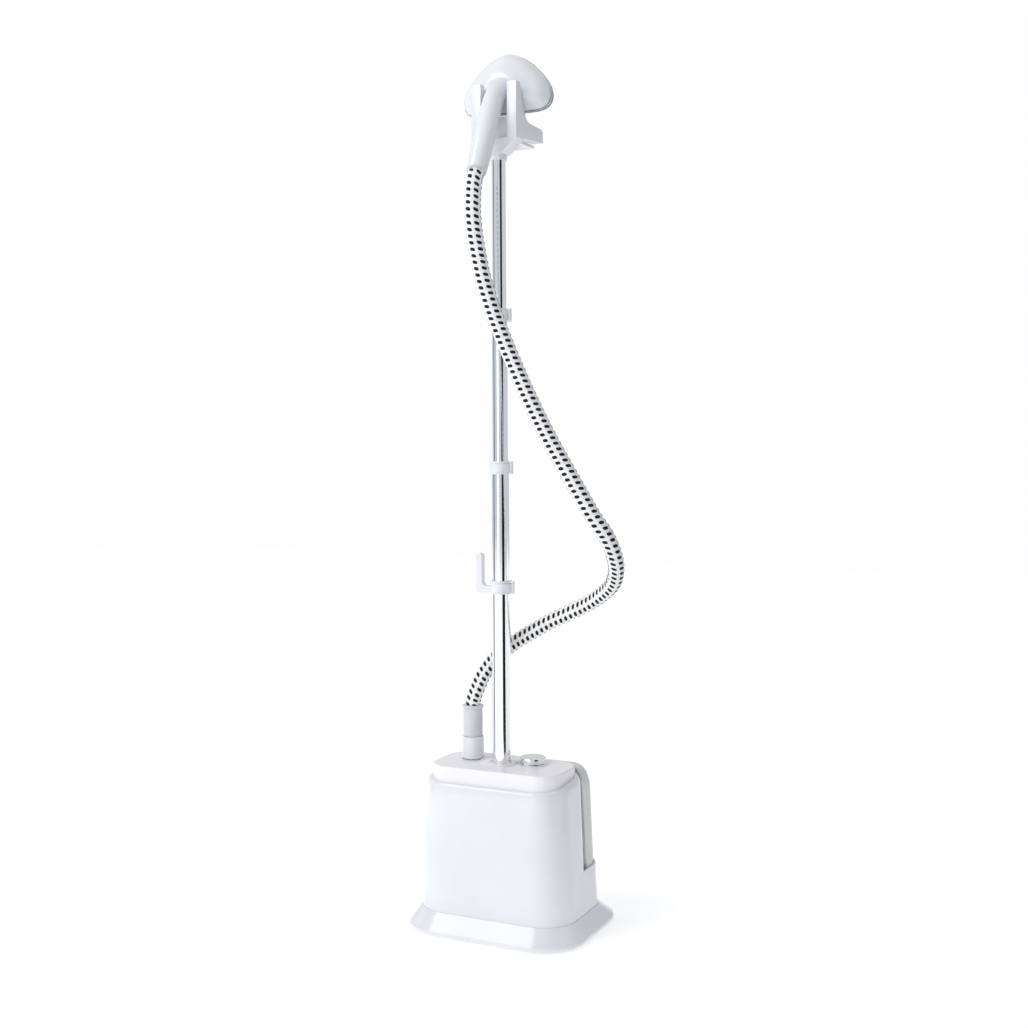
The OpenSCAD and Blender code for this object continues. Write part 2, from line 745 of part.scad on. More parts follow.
// Stands a face outline up at a depth in front of (-) or behind (+) the head's face
function stand(pts, depth) = [for (p = pts) [p[0], depth, p[1]]];

module in_head_frame() translate(head_pivot) rotate([-head_lean, 0, 0]) children();
module in_handle_frame() translate(tail_at) rotate([-handle_lean, 0, 0]) children();

// The dome behind the steam head's face
module head_dome() {
    in_head_frame() loft([
        stand(head_outline(0.28, -11), -37), stand(head_outline(0.5, -7), -33),
        stand(head_outline(0.72, -3), -27), stand(head_outline(0.88, -1), -19),
        stand(head_outline(0.97), -10), stand(head_outline(1), -3), stand(head_outline(0.98), 0)]);
}

// The handle's sections: [height along it, width, depth, shift backwards]
handle_sections = [[0, 33, 33, 0], [12, 34.5, 34, 0], [50, 36.5, 36, -1], [90, 36.5, 37, -1],
    [125, 34.5, 38, 0], [155, 36, 38, 4], [180, 42, 30, 12], [200, 34, 16, 20]];

module handle_body() {
    grow = tail_d / handle_sections[0][1];
    in_handle_frame() loft([for (s = handle_sections)
        [for (a = [0 : 15 : 345]) [s[1] / 2 * grow * cos(a), s[3] + s[2] / 2 * grow * sin(a), s[0]]]]);
}

handle_bore = 22;

// The half of the grip that faces the user, in one piece with the head's dome
module handset_shell() {
    color("white")
    difference() {
        union() {
            head_dome();
            handle_body();
        }
        in_handle_frame() translate([-40, 0.1, -5]) cube([80, 40, 125]);
        in_handle_frame() translate([0, 0, -1]) cylinder(d = handle_bore, h = 152);
        in_head_frame() {
            translate([0, 1, 32]) rotate([90, 0, 0]) cylinder(d = 70, h = 17);
            translate([0, 1, 32]) rotate([90, 0, 0]) cylinder(d = 24, h = 30);
        }
        in_handle_frame() cylinder(d = tail_d - 4, h = 12);
    }
}

// The half of the grip that faces the pole
module handle_cover() {
    color("white")
    difference() {
        intersection() {
            handle_body();
            in_handle_frame() translate([-40, 0.2, 0]) cube([80, 40, 119.8]);
        }
        in_handle_frame() translate([0, 0, -1]) cylinder(d = handle_bore, h = 160);
        in_handle_frame() translate([0, 0, -1]) cylinder(d = tail_d - 4, h = 13);
        in_handle_frame() for (z = [30, 75, 108]) translate([0, 5, z]) rotate([-90, 0, 0]) {
            cylinder(d = 3, h = 40);
            translate([0, 0, 9]) cylinder(d = 6.2, h = 40);
        }
    }
}

module handset_screws() {
    color("silver")
    in_handle_frame() for (z = [30, 75, 108]) translate([0, 11.2, z]) rotate([-90, 0, 0]) {
        cylinder(d = 2.9, h = 3);
        translate([0, 0, 2.9]) cylinder(d = 6, h = 1.6);
    }
}

module steam_tube() {
    color("gray")
    in_handle_frame() difference() {
        translate([0, 0, 2]) cylinder(d = 14, h = 147);
        translate([0, 0, 1]) cylinder(d = 10, h = 150);
    }
}

module hose_end_ring() {
    color("gainsboro")
    in_handle_frame() difference() {
        union() {
            cylinder(d = tail_d - 4.1, h = 12);
            translate([0, 0, -2]) cylinder(d = tail_d - 1, h = 2);
        }
        translate([0, 0, 2]) cylinder(d = 14.04, h = 20);
        translate([0, 0, -5]) cylinder(d = 10, h = 20);
    }
}

module face_plate(scale, depth, thick) {
    in_head_frame() translate([0, depth + thick, 0]) rotate([90, 0, 0]) linear_extrude(thick)
        polygon(head_outline(scale));
}

module head_rim() {
    color("lightcyan")
    difference() {
        face_plate(1.025, 0.1, 5.4);
        face_plate(0.9, -1, 8);
    }
}

module head_gasket() {
    color("tomato")
    difference() {
        face_plate(0.895, 0.1, 2.4);
        face_plate(0.8, -1, 8);
    }
}

hole_rows = [[14, 7, 7], [30, 9, 8], [46, 7, 5]];

module soleplate() {
    color("silver")
    difference() {
        union() {
            face_plate(0.98, 5.6, 2.4);
            face_plate(0.88, 2.6, 3.1);
        }
        in_head_frame() for (row = hole_rows) for (i = [0 : row[1] - 1])
            translate([(i - (row[1] - 1) / 2) * 13, 0, row[0]]) rotate([-90, 0, 0]) cylinder(d = 4, h = 12);
    }
}

// ---------- hose ----------

// Smooth curve through four route points, t from 0 to 1 between b and c
function through(a, b, c, d, t) =
    0.5 * (2 * b + (c - a) * t + (2 * a - 5 * b + 4 * c - d) * t * t + (3 * b - a - 3 * c + d) * t * t * t);
function route_at(i, t) =
    let (n = len(hose_route) - 1, r = hose_route)
    through(i > 0 ? r[i - 1] : 2 * r[0] - r[1], r[i], r[i + 1], i + 2 <= n ? r[i + 2] : 2 * r[n] - r[n - 1], t);
hose_line = concat([for (i = [0 : len(hose_route) - 2]) for (t = [0, 0.5]) route_at(i, t)],
    [hose_route[len(hose_route) - 1]]);

function unit(v) = v / norm(v);
function way(i) = let (n = len(hose_line) - 1)
    i == 0 ? [0, 0, 1] : i == n ? [0, sin(handle_lean), cos(handle_lean)]
    : unit(hose_line[i + 1] - hose_line[i - 1]);
function hose_ring(i) =
    let (w = way(i), u = unit(cross(w, [0.31, 0.95, 0.05])), v = cross(w, u))
    [for (a = [0 : 30 : 330]) hose_line[i] + hose_d / 2 * (u * cos(a) + v * sin(a))];

module hose_stretch(k) {
    color("whitesmoke")
    intersection() {
        loft([for (i = [len(hose_line) - 1 : -1 : 0]) hose_ring(i)]);
        translate([-100, -200, hose_seams[k - 1]]) cube([400, 300, hose_seams[k] - hose_seams[k - 1]]);
    }
}

module hose_1() hose_stretch(1);
module hose_2() hose_stretch(2);
module hose_3() hose_stretch(3);
module hose_4() hose_stretch(4);

base_skirt();
foot_pads();
housing();
tank_tray();
valve_seat();
cord_gland();
base_screws();
boiler();
boiler_gasket();
boiler_lid();
thermostat();
feed_tube();
steam_pipe();
deck();
rotary_switch();
dial_base();
dial_knob();
indicator_lens();
steam_outlet();
coupling_nut();
hose_cuff();
pole_socket();
pole_lock_tab();
water_tank();
tank_seal();
tank_cap();
valve_spring();
valve_plunger();
tube_1();
tube_2();
tube_3();
tube_4();
bush_2();
bush_3();
bush_4();
collar_1();
collar_2();
collar_3();
lever_pin_1();
lever_pin_2();
lever_pin_3();
lever_1();
lever_2();
lever_3();
hose_hook();
cradle();
cradle_screw();
handset_shell();
handle_cover();
steam_tube();
hose_end_ring();
head_rim();
head_gasket();
soleplate();
handset_screws();
hose_1();
hose_2();
hose_3();
hose_4();
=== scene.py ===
import json
import math

import bmesh
import bpy
from mathutils import Matrix, Vector


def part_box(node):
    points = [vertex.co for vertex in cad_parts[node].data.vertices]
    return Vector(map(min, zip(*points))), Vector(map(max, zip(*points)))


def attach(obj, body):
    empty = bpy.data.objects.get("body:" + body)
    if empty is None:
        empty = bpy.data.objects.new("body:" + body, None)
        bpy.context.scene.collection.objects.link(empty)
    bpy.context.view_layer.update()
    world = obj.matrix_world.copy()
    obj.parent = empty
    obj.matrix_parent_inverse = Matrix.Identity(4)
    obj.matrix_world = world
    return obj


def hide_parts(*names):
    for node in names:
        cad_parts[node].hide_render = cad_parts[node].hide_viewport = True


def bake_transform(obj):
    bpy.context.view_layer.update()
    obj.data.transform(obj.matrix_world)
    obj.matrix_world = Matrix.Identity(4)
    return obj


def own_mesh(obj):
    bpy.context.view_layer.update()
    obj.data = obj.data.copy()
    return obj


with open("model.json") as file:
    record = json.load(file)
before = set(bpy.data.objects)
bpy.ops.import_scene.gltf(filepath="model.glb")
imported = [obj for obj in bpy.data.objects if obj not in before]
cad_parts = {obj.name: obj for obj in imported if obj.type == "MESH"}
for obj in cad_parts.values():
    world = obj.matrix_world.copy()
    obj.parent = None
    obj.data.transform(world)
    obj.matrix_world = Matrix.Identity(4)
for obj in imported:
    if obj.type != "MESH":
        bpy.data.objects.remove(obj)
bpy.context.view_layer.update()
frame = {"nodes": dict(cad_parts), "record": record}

# ---------------------------------------------------------------- camera
# A plain tripod view from the front right, a little above the tank's height,
# at a portrait distance so the pole stays straight.
camera_at = (1.0737, -2.2010, 0.8739)
camera_heading, camera_pitch, camera_roll = 25.84, 3.673, -0.2955
camera_lens_mm = 49.74

camera = bpy.data.objects.new("camera", bpy.data.cameras.new("camera"))
bpy.context.scene.collection.objects.link(camera)
camera.data.lens = camera_lens_mm
camera.data.sensor_width = 36.0
camera.data.clip_end = 60.0
camera.matrix_world = (
    Matrix.Translation(camera_at)
    @ Matrix.Rotation(math.radians(camera_heading), 4, "Z")
    @ Matrix.Rotation(math.radians(90.0 - camera_pitch), 4, "X")
    @ Matrix.Rotation(math.radians(camera_roll), 4, "Z"))
bpy.context.scene.camera = camera
bpy.context.scene.view_settings.view_transform = "Standard"


# ---------------------------------------------------------------- studio
# A white sweep under soft light, in a room that is white all round. Standing flags
# on both sides give the chrome its stripes and the white plastic its grey side.
def linear(hex_colour):
    """sRGB hex to linear RGBA."""
    parts = [int(hex_colour[i:i + 2], 16) / 255 for i in (1, 3, 5)]
    return tuple(p / 12.92 if p <= 0.04045 else ((p + 0.055) / 1.055) ** 2.4 for p in parts) + (1.0,)


def add(tree, kind, settings=None, links=None):
    """Adds a node, sets its properties and sockets, and links sockets to what feeds them."""
    node = tree.nodes.new(kind)
    for key, value in (settings or {}).items():
        if isinstance(key, str) and hasattr(node, key):
            setattr(node, key, value)
        else:
            node.inputs[key].default_value = value
    for key, source in (links or {}).items():
        tree.links.new(source, node.inputs[key])
    return node


wall_strength, backdrop_strength = 0.78, 1.0
world = bpy.data.worlds.new("white_studio")
bpy.context.scene.world = world
world.use_nodes = True
sky = world.node_tree
sky.nodes.clear()
look = add(sky, "ShaderNodeTexCoord")
axes = add(sky, "ShaderNodeSeparateXYZ", links={0: look.outputs["Generated"]})
overhead = add(sky, "ShaderNodeMapRange", {"interpolation_type": "SMOOTHSTEP", 1: -0.1, 2: 0.9, 3: 0.0, 4: 1.0},
               {0: axes.outputs[2]})
room = add(sky, "ShaderNodeMix", {"data_type": "RGBA", 6: linear("#e9edf2"), 7: linear("#ffffff")},
           {0: overhead.outputs[0]})
seen = add(sky, "ShaderNodeLightPath")
wall_light = add(sky, "ShaderNodeBackground", {"Strength": wall_strength}, {0: room.outputs[2]})
backdrop = add(sky, "ShaderNodeBackground", {0: linear("#fefefe"), "Strength": backdrop_strength})
picked = add(sky, "ShaderNodeMixShader", links={0: seen.outputs["Is Camera Ray"], 1: wall_light.outputs[0],
                                                2: backdrop.outputs[0]})
add(sky, "ShaderNodeOutputWorld", links={0: picked.outputs[0]})

for lamp_name, lamp_at, lamp_aim, lamp_size, lamp_power in (
        ("key_softbox", (-1.6, -2.0, 3.0), (0.0, 0.0, 0.6), 1.8, 36.0),
        ("low_fill", (-0.4, -2.6, 0.7), (0.0, 0.0, 0.4), 1.2, 4.0)):
    lamp = bpy.data.objects.new(lamp_name, bpy.data.lights.new(lamp_name, "AREA"))
    bpy.context.scene.collection.objects.link(lamp)
    lamp.data.shape = "SQUARE"
    lamp.data.size = lamp_size
    lamp.data.energy = lamp_power
    lamp.location = lamp_at
    lamp.rotation_mode = "QUATERNION"
    lamp.rotation_quaternion = (Vector(lamp_at) - Vector(lamp_aim)).to_track_quat("Z", "Y")

floor_half = 6.0
floor_glow = 0.34
floor_mesh = bpy.data.meshes.new("floor")
floor_mesh.from_pydata([(-floor_half, -floor_half, 0), (floor_half, -floor_half, 0),
                        (floor_half, floor_half, 0), (-floor_half, floor_half, 0)], [], [(0, 1, 2, 3)])
floor = bpy.data.objects.new("floor", floor_mesh)
bpy.context.scene.collection.objects.link(floor)
paper = bpy.data.materials.new("white_paper_sweep")
paper.use_nodes = True
paper.node_tree.nodes.clear()
grain = add(paper.node_tree, "ShaderNodeTexNoise", {"Scale": 900.0})
fibre = add(paper.node_tree, "ShaderNodeBump", {"Strength": 0.03, "Distance": 0.0004}, {"Height": grain.outputs[0]})
sheet = add(paper.node_tree, "ShaderNodeBsdfPrincipled",
            {"Base Color": linear("#fbfbfb"), "Roughness": 0.9, "Specular IOR Level": 0.1,
             "Emission Color": linear("#ffffff"), "Emission Strength": floor_glow}, {"Normal": fibre.outputs[0]})
add(paper.node_tree, "ShaderNodeOutputMaterial", links={0: sheet.outputs[0]})
floor_mesh.materials.append(paper)

# Three standing sheets left and right of the steamer, outside the main view but not
# outside the others: black and grey flags that only the chrome and gloss reflect, and
# a grey screen on the right that only takes light off the white plastic's side.
for flag_name, flag_tint, (flag_x, near_y, far_y, flag_top), takes_light in (
        ("black_flag", "#121214", (1.02, -1.22, -0.30, 2.3), False),
        ("grey_flag", "#8a8c90", (-1.2, -0.62, -0.14, 2.3), False),
        ("side_screen", "#9a9da2", (0.98, -0.75, 1.0, 2.2), True)):
    flag_mesh = bpy.data.meshes.new(flag_name)
    flag_mesh.from_pydata([(flag_x, near_y, 0.0), (flag_x, far_y, 0.0), (flag_x, far_y, flag_top),
                           (flag_x, near_y, flag_top)], [], [(0, 1, 2, 3)])
    flag = bpy.data.objects.new(flag_name, flag_mesh)
    bpy.context.scene.collection.objects.link(flag)
    felt = bpy.data.materials.new(flag_name + "_felt")
    felt.use_nodes = True
    felt.node_tree.nodes.clear()
    nap = add(felt.node_tree, "ShaderNodeTexNoise", {"Scale": 400.0})
    nap_up = add(felt.node_tree, "ShaderNodeBump", {"Strength": 0.1, "Distance": 0.001}, {"Height": nap.outputs[0]})
    cloth_face = add(felt.node_tree, "ShaderNodeBsdfPrincipled", {"Base Color": linear(flag_tint), "Roughness": 0.95},
                     {"Normal": nap_up.outputs[0]})
    add(felt.node_tree, "ShaderNodeOutputMaterial", links={0: cloth_face.outputs[0]})
    flag_mesh.materials.append(felt)
    flag.visible_diffuse, flag.visible_glossy = takes_light, not takes_light

# ---------------------------------------------------------------- steam hose
# A corrugated polyamide hose in a knitted sleeve, white yarn with a black tracer
# that shows as rows of flecks. It runs from the cuff on the deck up to the grip.
# Four stretches, cut where each pole section takes over; the first three ride on the base and the second and third
# pole sections.
hose_d = 0.0275
rib_depth = 0.0005
rib_pitch = 0.0104
fleck_columns = 6
hose_sides = 40
ring_gap = 0.0013
hose_route = [
    (-0.066, -0.017, 0.382), (-0.064, -0.017, 0.394), (-0.058, -0.016, 0.410), (-0.047, -0.012, 0.436),
    (-0.029, -0.004, 0.463), (0.000, 0.003, 0.489), (0.036, 0.007, 0.512), (0.074, 0.008, 0.534),
    (0.112, 0.007, 0.552), (0.146, 0.003, 0.569), (0.176, -0.007, 0.588), (0.200, -0.022, 0.608),
    (0.214, -0.042, 0.634), (0.217, -0.062, 0.662), (0.210, -0.078, 0.692), (0.192, -0.090, 0.724),
    (0.156, -0.098, 0.788), (0.120, -0.102, 0.850), (0.086, -0.105, 0.916), (0.058, -0.109, 0.978),
    (0.034, -0.116, 1.040), (0.017, -0.126, 1.102), (0.007, -0.134, 1.164), (0.003, -0.137, 1.208),
    (0.001, -0.133, 1.240), (0.000, -0.1265, 1.265), (0.000, -0.118, 1.282)]
hose_seams = [hose_route[0][2], 0.616, 0.913, 1.220, hose_route[-1][2]]
grip_lean = math.radians(26.6)


def through(a, b, c, d, t):
    """Smooth curve from b to c, as the hose route runs."""
    return 0.5 * (2 * b + (c - a) * t + (2 * a - 5 * b + 4 * c - d) * t * t + (3 * b - a - 3 * c + d) * t ** 3)


def fine_line(route, gap):
    """The route as points about gap apart along its smooth curve."""
    points = [Vector(p) for p in route]
    points = [2 * points[0] - points[1]] + points + [2 * points[-1] - points[-2]]
    line = []
    for a, b, c, d in zip(points, points[1:], points[2:], points[3:]):
        steps = max(2, round((c - b).length / gap))
        line += [through(a, b, c, d, i / steps) for i in range(steps)]
    return line + [points[-2]]


def new_object(name, mesh):
    made = bpy.data.objects.new(name, mesh)
    bpy.context.scene.collection.objects.link(made)
    return made


# Knitted polyester sleeve: matt thread, a soft sheen at the edges, rib shadows
# between the hose's corrugations and black tracer stitches on each rib.
sleeve = bpy.data.materials.new("knitted_polyester_sleeve")
sleeve.use_nodes = True
knit = sleeve.node_tree
knit.nodes.clear()
wrap = add(knit, "ShaderNodeUVMap", {"uv_map": "sleeve"})
wraps = add(knit, "ShaderNodeSeparateXYZ", links={0: wrap.outputs[0]})
around = add(knit, "ShaderNodeMath", {"operation": "MULTIPLY", 1: float(fleck_columns)}, {0: wraps.outputs[0]})
column = add(knit, "ShaderNodeMath", {"operation": "FRACT"}, {0: around.outputs[0]})
climb = add(knit, "ShaderNodeMath", {"operation": "ADD"}, {0: wraps.outputs[1], 1: wraps.outputs[0]})
rib = add(knit, "ShaderNodeMath", {"operation": "FRACT"}, {0: climb.outputs[0]})
side = add(knit, "ShaderNodeMath", {"operation": "SUBTRACT", 1: 0.5}, {0: column.outputs[0]})
rise = add(knit, "ShaderNodeMath", {"operation": "SUBTRACT", 1: 0.5}, {0: rib.outputs[0]})
slant = add(knit, "ShaderNodeMath", {"operation": "MULTIPLY_ADD", 1: 0.22}, {0: side.outputs[0], 2: rise.outputs[0]})
wide = add(knit, "ShaderNodeMath", {"operation": "DIVIDE", 1: 0.33}, {0: side.outputs[0]})
tall = add(knit, "ShaderNodeMath", {"operation": "DIVIDE", 1: 0.27}, {0: slant.outputs[0]})
wide_2 = add(knit, "ShaderNodeMath", {"operation": "POWER", 1: 4.0},
             {0: add(knit, "ShaderNodeMath", {"operation": "ABSOLUTE"}, {0: wide.outputs[0]}).outputs[0]})
tall_2 = add(knit, "ShaderNodeMath", {"operation": "POWER", 1: 2.0},
             {0: add(knit, "ShaderNodeMath", {"operation": "ABSOLUTE"}, {0: tall.outputs[0]}).outputs[0]})
reach = add(knit, "ShaderNodeMath", {"operation": "ADD"}, {0: wide_2.outputs[0], 1: tall_2.outputs[0]})
threads = add(knit, "ShaderNodeMath", {"operation": "MULTIPLY", 1: 96.0}, {0: wraps.outputs[0]})
courses = add(knit, "ShaderNodeMath", {"operation": "MULTIPLY", 1: 12.0}, {0: climb.outputs[0]})
thread_wave = add(knit, "ShaderNodeMath", {"operation": "PINGPONG", 1: 0.5}, {0: threads.outputs[0]})
course_wave = add(knit, "ShaderNodeMath", {"operation": "PINGPONG", 1: 0.5}, {0: courses.outputs[0]})
stitch = add(knit, "ShaderNodeMath", {"operation": "MULTIPLY"},
             {0: thread_wave.outputs[0], 1: course_wave.outputs[0]})
ragged = add(knit, "ShaderNodeMath", {"operation": "MULTIPLY_ADD", 1: 0.9},
             {0: stitch.outputs[0], 2: reach.outputs[0]})
fleck = add(knit, "ShaderNodeMapRange", {"interpolation_type": "SMOOTHSTEP", 1: 0.85, 2: 1.3, 3: 1.0, 4: 0.0},
            {0: ragged.outputs[0]})
fuzz = add(knit, "ShaderNodeTexNoise", {"Scale": 260.0, "Detail": 3.0},
           {0: add(knit, "ShaderNodeTexCoord").outputs["Object"]})
yarn = add(knit, "ShaderNodeValToRGB", links={0: fuzz.outputs[0]})
yarn.color_ramp.elements[0].position, yarn.color_ramp.elements[0].color = 0.3, linear("#e3e4e6")
yarn.color_ramp.elements[1].position, yarn.color_ramp.elements[1].color = 0.62, linear("#f6f7f8")
tracer = add(knit, "ShaderNodeMix", {"data_type": "RGBA", 7: linear("#121215")},
             {0: fleck.outputs[0], 6: yarn.outputs[0]})
weave = add(knit, "ShaderNodeBump", {"Strength": 0.5, "Distance": 0.0005}, {"Height": stitch.outputs[0]})
cloth = add(knit, "ShaderNodeBsdfPrincipled",
            {"Roughness": 0.78, "Specular IOR Level": 0.3, "Sheen Weight": 0.25, "Sheen Roughness": 0.4},
            {"Base Color": tracer.outputs[2], "Normal": weave.outputs[0]})
add(knit, "ShaderNodeOutputMaterial", links={0: cloth.outputs[0]})

line = fine_line(hose_route, ring_gap)
run = [0.0]
for before, after in zip(line, line[1:]):
    run.append(run[-1] + (after - before).length)
ways = [(b - a).normalized() for a, b in zip([line[0]] + line[:-1], line[1:] + [line[-1]])]
ways[0] = Vector((0, 0, 1))
ways[-1] = Vector((0, math.sin(grip_lean), math.cos(grip_lean)))
side_way = ways[0].cross(Vector((0.31, 0.95, 0.05))).normalized()
tube = bmesh.new()
uv = tube.loops.layers.uv.new("sleeve")
rings = []
for at, way, gone in zip(line, ways, run):
    side_way = (side_way - way * side_way.dot(way)).normalized()
    over = way.cross(side_way)
    ring = []
    for i in range(hose_sides):
        u = i / hose_sides
        swell = 0.5 - 0.5 * math.cos(2 * math.pi * (gone / rib_pitch + u))
        radius = hose_d / 2 - rib_depth * 2 * (1 - swell)
        angle = 2 * math.pi * u
        ring.append(tube.verts.new(at + radius * (side_way * math.cos(angle) + over * math.sin(angle))))
    rings.append(ring)
for k in range(len(rings) - 1):
    for i in range(hose_sides):
        j = (i + 1) % hose_sides
        face = tube.faces.new((rings[k][i], rings[k][j], rings[k + 1][j], rings[k + 1][i]))
        face.smooth = True
        for loop, (m, n) in zip(face.loops, ((i, k), (i + 1, k), (i + 1, k + 1), (i, k + 1))):
            loop[uv].uv = (m / hose_sides, run[n] / rib_pitch)
tube.faces.new(rings[0][::-1])
tube.faces.new(rings[-1])
tube.normal_update()

stretches, stretch_paths, stretch_lengths = [], [], []
hose_bodies = ["base", "pole_2", "pole_3", "pole_4"]
for k in range(4):
    low, high = hose_seams[k], hose_seams[k + 1]
    part = tube.copy()
    if k > 0:
        bmesh.ops.bisect_plane(part, geom=part.verts[:] + part.edges[:] + part.faces[:],
                               plane_co=(0, 0, low), plane_no=(0, 0, 1), clear_inner=True)
    if k < 3:
        bmesh.ops.bisect_plane(part, geom=part.verts[:] + part.edges[:] + part.faces[:],
                               plane_co=(0, 0, high), plane_no=(0, 0, 1), clear_outer=True)
    bmesh.ops.holes_fill(part, edges=[e for e in part.edges if e.is_boundary])
    mesh = bpy.data.meshes.new(f"hose_stretch_{k + 1}")
    part.to_mesh(mesh)
    part.free()
    mesh.materials.append(sleeve)
    stretch = new_object(f"hose_stretch_{k + 1}", mesh)
    inside = [n for n, p in enumerate(line) if low - 1e-6 <= p.z <= high + 1e-6]
    path = [line[n] for n in range(inside[0], inside[-1] + 1)]
    if k < 3:
        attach(stretch, hose_bodies[k])
        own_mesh(stretch)
    else:
        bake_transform(stretch)
    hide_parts(f"hose_{k + 1}")
    stretches.append(stretch)
    stretch_paths.append(path)
    stretch_lengths.append(run[inside[-1]] - run[inside[0]])
tube.free()

# ---------------------------------------------------------------- base tray
# The flared foot of the steamer, one glossy ABS moulding with a rolled outer lip.
# It stands on four rubber feet and carries the housing on a ledge, held by screws.
mm = 0.001
corner_steps = 18
skirt_low, skirt_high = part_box("base_skirt")
skirt_r = 0.074
body_low, body_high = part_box("housing")
body_w = body_high.x - body_low.x
body_front, body_rear = -body_low.y, body_high.y
body_r, body_draft = 0.060, 0.024
body_foot, shoulder_z = 0.032, 0.241


def rounded(w, front, rear, r):
    """Outline of a box with round corners, from y = -front to y = rear, seen from above."""
    points = []
    for cx, cy, start in ((w / 2 - r, rear - r, 0), (r - w / 2, rear - r, 90),
                          (r - w / 2, r - front, 180), (w / 2 - r, r - front, 270)):
        points += [(cx + r * math.cos(math.radians(start + 90 * i / corner_steps)),
                    cy + r * math.sin(math.radians(start + 90 * i / corner_steps))) for i in range(corner_steps + 1)]
    return points


def body_outline(z, inset=0.0, rear=None):
    """The housing's outline at a height, which narrows upwards."""
    t = (z - body_foot) / (shoulder_z - body_foot)
    return rounded(body_w - body_draft * t - 2 * inset, body_front - 0.0035 * t - inset,
                   (body_rear if rear is None else rear) - inset, body_r - 0.008 * t - inset)


def level(outline, z):
    return [(x, y, z) for x, y in outline]


def loft(rings, ends=True):
    """A skin over equal rings of 3-D points, with flat ends or joined back to its first ring."""
    n, m = len(rings[0]), len(rings)
    points = [tuple(p) for ring in rings for p in ring]
    faces = [(k * n + i, k * n + (i + 1) % n, (k + 1) % m * n + (i + 1) % n, (k + 1) % m * n + i)
             for k in range(m if not ends else m - 1) for i in range(n)]
    if ends:
        faces += [tuple(range(n - 1, -1, -1)), tuple((m - 1) * n + i for i in range(n))]
    return points, faces


def skin_mesh(name, *skins):
    """One mesh from closed skins, its faces turned outward."""
    shape = bmesh.new()
    for points, faces in skins:
        verts = [shape.verts.new(p) for p in points]
        for face in faces:
            shape.faces.new([verts[i] for i in face])
    bmesh.ops.recalc_face_normals(shape, faces=shape.faces)
    mesh = bpy.data.meshes.new(name)
    shape.to_mesh(mesh)
    shape.free()
    return mesh


def fitted(name, mesh, material, slot, *nodes, edge=0.0, crease=32.0):
    """The finished piece: smooth but for its creases, which can be broken by a small round. It stands
    for the CAD nodes and rides on their body."""
    mesh.polygons.foreach_set("use_smooth", [True] * len(mesh.polygons))
    mesh.materials.clear()
    mesh.materials.append(material)
    made = new_object(name, mesh)
    if edge:
        broken = made.modifiers.new("broken_edges", "BEVEL")
        broken.width, broken.segments, broken.angle_limit = edge, 3, math.radians(crease)
        broken.limit_method = "ANGLE"
        broken.harden_normals = True
    else:
        mesh.set_sharp_from_angle(angle=math.radians(crease))
        even = made.modifiers.new("even_shading", "WEIGHTED_NORMAL")
        even.keep_sharp = True
    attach(made, next(b for b, held in frame["record"]["behaviour"]["bodies"].items() if nodes[0] in held))
    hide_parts(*nodes)
    return made


def moulded_plastic(name, tint, shade, roughness, **shader):
    """Moulded plastic: a faint drift of tint where the melt cooled, fine orange peel in the gloss,
    and a few handling marks that show only in the highlight."""
    made = bpy.data.materials.new(name)
    made.use_nodes = True
    tree = made.node_tree
    tree.nodes.clear()
    place = add(tree, "ShaderNodeTexCoord")
    drift = add(tree, "ShaderNodeTexNoise", {"Scale": 9.0, "Detail": 2.0}, {0: place.outputs["Object"]})
    tone = add(tree, "ShaderNodeValToRGB", links={0: drift.outputs[0]})
    tone.color_ramp.elements[0].position, tone.color_ramp.elements[0].color = 0.35, linear(shade)
    tone.color_ramp.elements[1].position, tone.color_ramp.elements[1].color = 0.65, linear(tint)
    marks = add(tree, "ShaderNodeTexNoise", {"Scale": 55.0, "Detail": 5.0}, {0: place.outputs["Object"]})
    gloss = add(tree, "ShaderNodeMapRange", {1: 0.3, 2: 0.75, 3: roughness, 4: roughness + 0.07},
                {0: marks.outputs[0]})
    peel = add(tree, "ShaderNodeTexNoise", {"Scale": 420.0, "Detail": 2.0}, {0: place.outputs["Object"]})
    skin = add(tree, "ShaderNodeBump", {"Strength": 0.04, "Distance": 0.0002}, {"Height": peel.outputs[0]})
    body = add(tree, "ShaderNodeBsdfPrincipled", {k.replace("_", " "): v for k, v in shader.items()},
               {"Base Color": tone.outputs[0], "Roughness": gloss.outputs[0], "Normal": skin.outputs[0]})
    add(tree, "ShaderNodeOutputMaterial", links={0: body.outputs[0]})
    return made


# Injection-moulded ABS from a polished tool: bright white with a cool cast and clear reflections.
white_abs = moulded_plastic("white_abs_polished_tool", "#e6e9ed", "#e2e5ea", 0.16, Coat_Weight=0.25,
                            Coat_Roughness=0.06)


def skirt_outline(inset):
    return rounded(skirt_high.x - skirt_low.x - 2 * inset, -skirt_low.y - inset, skirt_high.y - inset,
                   skirt_r - inset)


def mix_outline(a, b, t):
    return [(p[0] * (1 - t) + q[0] * t, p[1] * (1 - t) + q[1] * t) for p, q in zip(a, b)]


skirt_z0, skirt_z1 = skirt_low.z, skirt_high.z
collar_outline = body_outline(skirt_z1, -1.5 * mm)
